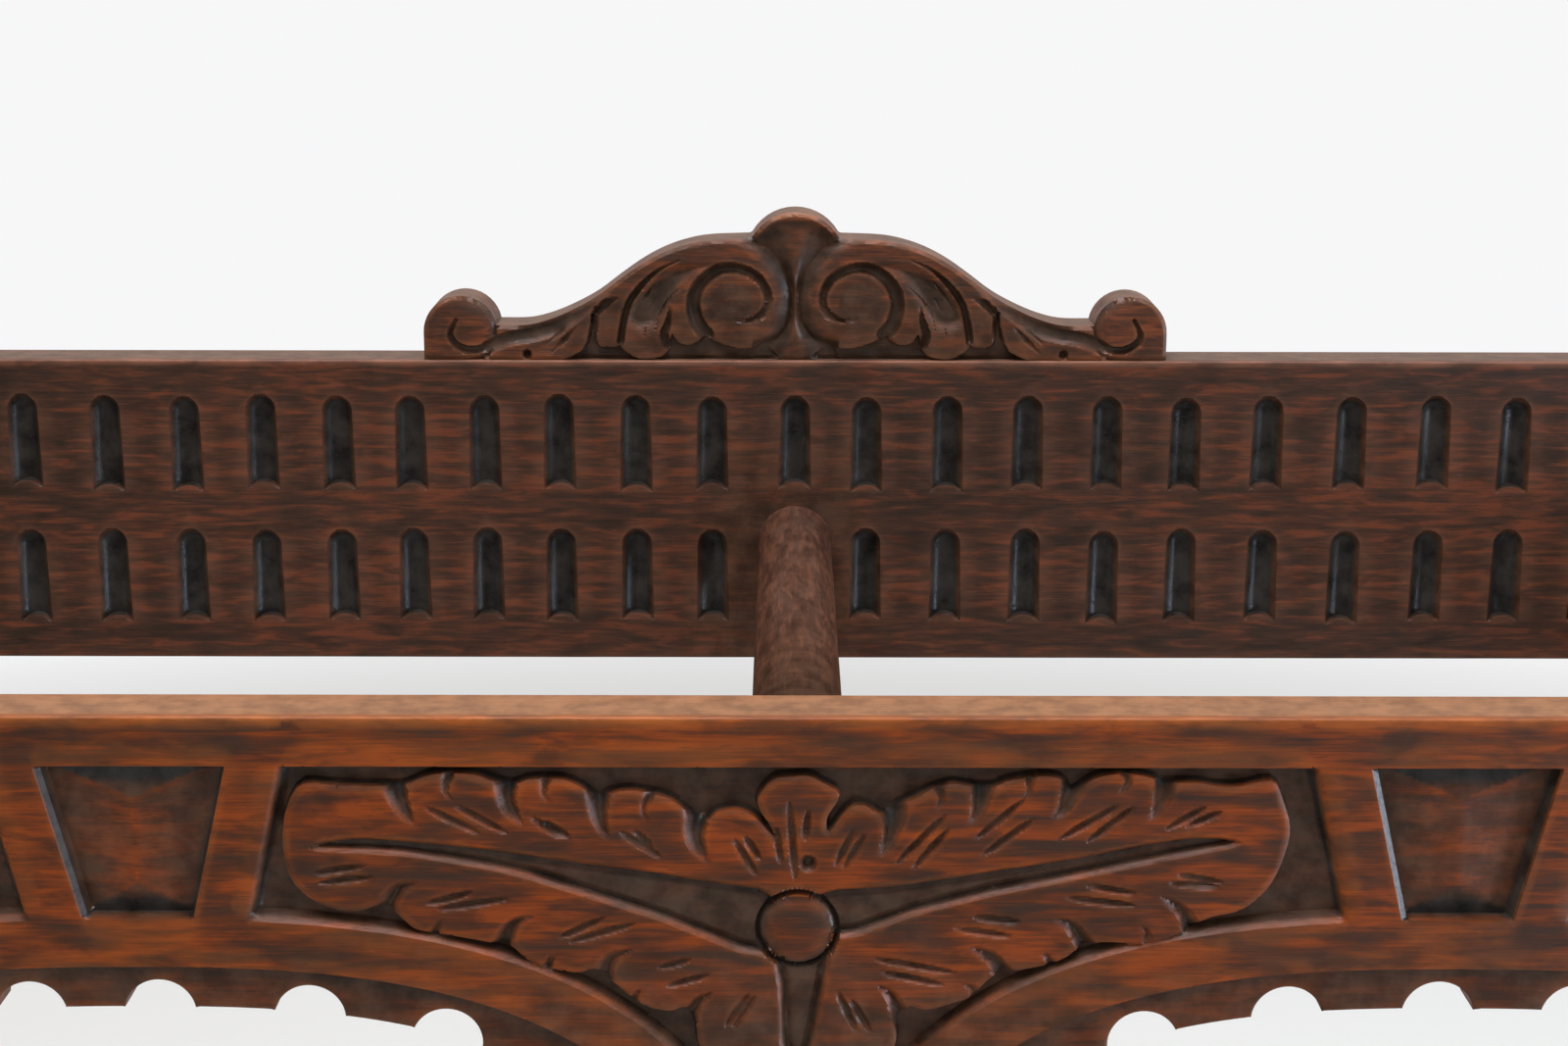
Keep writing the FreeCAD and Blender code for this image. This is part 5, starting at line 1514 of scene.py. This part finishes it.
def base_rail(name, half, place):
    """A rail of the base frame with one row of flutes."""
    height, margin = BASE_TOP - BASE_BOTTOM, 16.0
    bands = [(even_places(half), -margin, height - 2 * margin)]
    return fluted_board(name, rectangle(half, height), bands, place)


# a side rail has one scalloped arch, a sunk keystone panel and a flute on each side of it
SIDE_SPRING = side_low[2] - FRONT_TOP
SIDE_HALF, SIDE_RISE = INNER_Y - 3.0, CROWN - SIDE_SPRING


def side_rail(name, place):
    """A side rail with its set-back border and keystone panel."""
    line = arch_line(0, SIDE_SPRING, SIDE_HALF, SIDE_RISE)
    edge = arch_line(0, SIDE_SPRING, SIDE_HALF - BAND, SIDE_RISE - BAND)
    ends = [(INNER_Y, SIDE_SPRING), (INNER_Y, 0), (-INNER_Y, 0)]
    notched = scalloped(edge, (-71, -35.5, 0, 35.5, 71))
    outline = np.vstack([[(-INNER_Y, SIDE_SPRING)], notched, ends])

    def relief(depth, points, dark):
        keystone(depth, points, 0)
        dark = np.where(in_keystone(points), front_dark(points, depth), dark)
        return np.where(set_back(depth, points, line, SIDE_SPRING), SIDE_BORDER_DARKENING, dark)

    extra = (relief, border_rows(line) + keystone_rows(0), [(in_keystone, 0.85)])
    flute_x = KEY_WIDE / 2 + FLUTE_PITCH / 2
    bands = [([-flute_x, flute_x], PANEL_TOP, FLUTE_LENGTH)]
    return fluted_board(name, outline, bands, place, extra)


# ---- the pieces ----
finish(front_rail(), OAK[X_AXIS], "front_rail")
finish(back_rail(), DARK_OAK[X_AXIS], "back_rail")
finish(crest(), CREST_OAK, "crest")
finish(divider_bar(), BAR_OAK, "divider_bar")
for side, word in ((1, "right"), (-1, "left")):
    rail = side_rail(f"oak_side_rail_{word}", facing_side(side_high[0], FRONT_TOP, side))
    finish(rail, OAK[Y_AXIS], f"side_rail_{word}")
    place = facing_side(base_side_high[0], BASE_TOP, side)
    base = base_rail(f"oak_base_side_rail_{word}", INNER_Y, place)
    finish(base, OAK[Y_AXIS], f"base_side_rail_{word}")
base = base_rail("oak_base_front_rail", INNER_X, facing_front(base_low[1], BASE_TOP))
finish(base, OAK[X_AXIS], "base_front_rail")
for name in ("front_post_left", "front_post_right"):
    finish(post(name), OAK[Z_AXIS], name)
for name in ("rear_post_left", "rear_post_right"):
    finish(post(name), DARK_OAK[Z_AXIS], name)
finish(column(), OAK[Z_AXIS], "column")

dress(["column_capital"], OAK[X_AXIS], 0.8)
dress(["base_back_rail"], DARK_OAK[X_AXIS], 0.8)
dress(["base_stretcher"], DARK_OAK[Y_AXIS], 0.8)
boards = ["bottom_board_left", "bottom_board_right"]
dress(boards + ["cleat_front", "cleat_back"], PLAIN_OAK[X_AXIS], 0.5)
dress(["cleat_left", "cleat_right"], PLAIN_OAK[Y_AXIS], 0.5)
pegs = ["front_rail_pegs", "back_rail_pegs", "side_rail_pegs", "base_frame_pegs"]
dress(pegs + ["crest_dowels", "column_dowels"], PEG_OAK)
dress(["cleat_screws"], SCREW_STEEL)
dress(["drip_tray_left", "drip_tray_right"], TRAY_METAL)


# ---- floor, light and background ----
FLOOR_R, FLOOR_FADE, FLOOR_CORNERS = 2.2, 0.35, 96
BACKDROP = (0.93, 0.93, 0.94, 1)


def add_floor():
    """A round pale floor whose rim fades into the white background."""
    turn = np.linspace(0, 2 * math.pi, FLOOR_CORNERS + 1)[:-1]
    rim = np.column_stack([FLOOR_R * np.cos(turn), FLOOR_R * np.sin(turn), 0 * turn])
    mesh = bpy.data.meshes.new("floor")
    mesh.from_pydata(rim.tolist(), [], [tuple(range(FLOOR_CORNERS))])
    floor = bpy.data.objects.new("floor", mesh)
    bpy.context.scene.collection.objects.link(floor)
    material = bpy.data.materials.new("floor")
    make = Shading(material)
    pale = make.add("BsdfPrincipled", {"Base Color": (0.90, 0.885, 0.86, 1), "Roughness": 0.9})
    place = make.add("TexCoord").outputs["Object"]
    away = make.add("VectorMath", {0: place}, operation="LENGTH").outputs["Value"]
    limits = {"Value": away, "From Min": FLOOR_R - FLOOR_FADE, "From Max": FLOOR_R}
    fade = make.add("MapRange", limits).outputs[0]
    white = make.add("Emission", {"Color": BACKDROP})
    mix = make.add("MixShader", {0: fade, 1: pale.outputs[0], 2: white.outputs[0]})
    make.add("OutputMaterial", {"Surface": mix.outputs[0]})
    mesh.materials.append(material)


def add_light(name, place, aim, size, power, colour, only_gloss=False):
    """One soft rectangular lamp."""
    data = bpy.data.lights.new(name, "AREA")
    data.shape = "RECTANGLE"
    data.size, data.size_y = size
    data.energy = power
    data.color = colour
    lamp = bpy.data.objects.new(name, data)
    bpy.context.scene.collection.objects.link(lamp)
    direction = Vector(aim) - Vector(place)
    turn = direction.to_track_quat("-Z", "Y").to_matrix().to_4x4()
    lamp.matrix_world = Matrix.Translation(place) @ turn
    lamp.visible_diffuse = not only_gloss


def add_world():
    """White behind the object for the camera; for light, a pale room that is dimmer in front."""
    world = bpy.data.worlds.new("world")
    bpy.context.scene.world = world
    make = Shading(world)
    place = make.add("TexCoord").outputs["Generated"]
    depth = make.add("SeparateXYZ", {0: place}).outputs["Y"]
    limits = {"Value": depth, "From Min": -0.6, "From Max": 0.5, "To Min": 0.36, "To Max": 0.80}
    room = make.add("MapRange", limits, interpolation_type="SMOOTHSTEP").outputs[0]
    light = make.add("Background", {"Color": (0.97, 0.98, 1.0, 1), "Strength": room})
    backdrop = make.add("Background", {"Color": BACKDROP})
    path = make.add("LightPath").outputs
    seen = path["Is Camera Ray"]
    for kind in ("Is Glossy Ray", "Is Transmission Ray"):
        seen = make.math_node("MAXIMUM", seen, path[kind])
    mix = make.add("MixShader", {0: seen, 1: light.outputs[0], 2: backdrop.outputs[0]})
    make.add("OutputWorld", {"Surface": mix.outputs[0]})


add_floor()
add_light("window", (1.75, -0.40, 0.55), (0, 0, 0.45), (1.5, 1.5), 30, (0.76, 0.88, 1.0))
add_light("above", (-0.3, -0.6, 2.2), (0, 0, 0.5), (1.4, 1.0), 25, (1.0, 0.98, 0.95))
add_light("front", (-0.4, -2.3, 1.3), (0, 0, 0.45), (1.3, 1.3), 5, (1.0, 0.98, 0.96))
# these two only give the waxed carving its sheen
SHEEN_AIM = (0, 0, 0.6)
add_light("sheen_right", (1.45, -0.48, 0.42), SHEEN_AIM, (0.9, 0.8), 62, (0.68, 0.80, 1.0), True)
add_light("sheen_above", (0, -0.25, 2.2), SHEEN_AIM, (1.4, 1.3), 115, (0.97, 0.93, 1.0), True)
add_world()
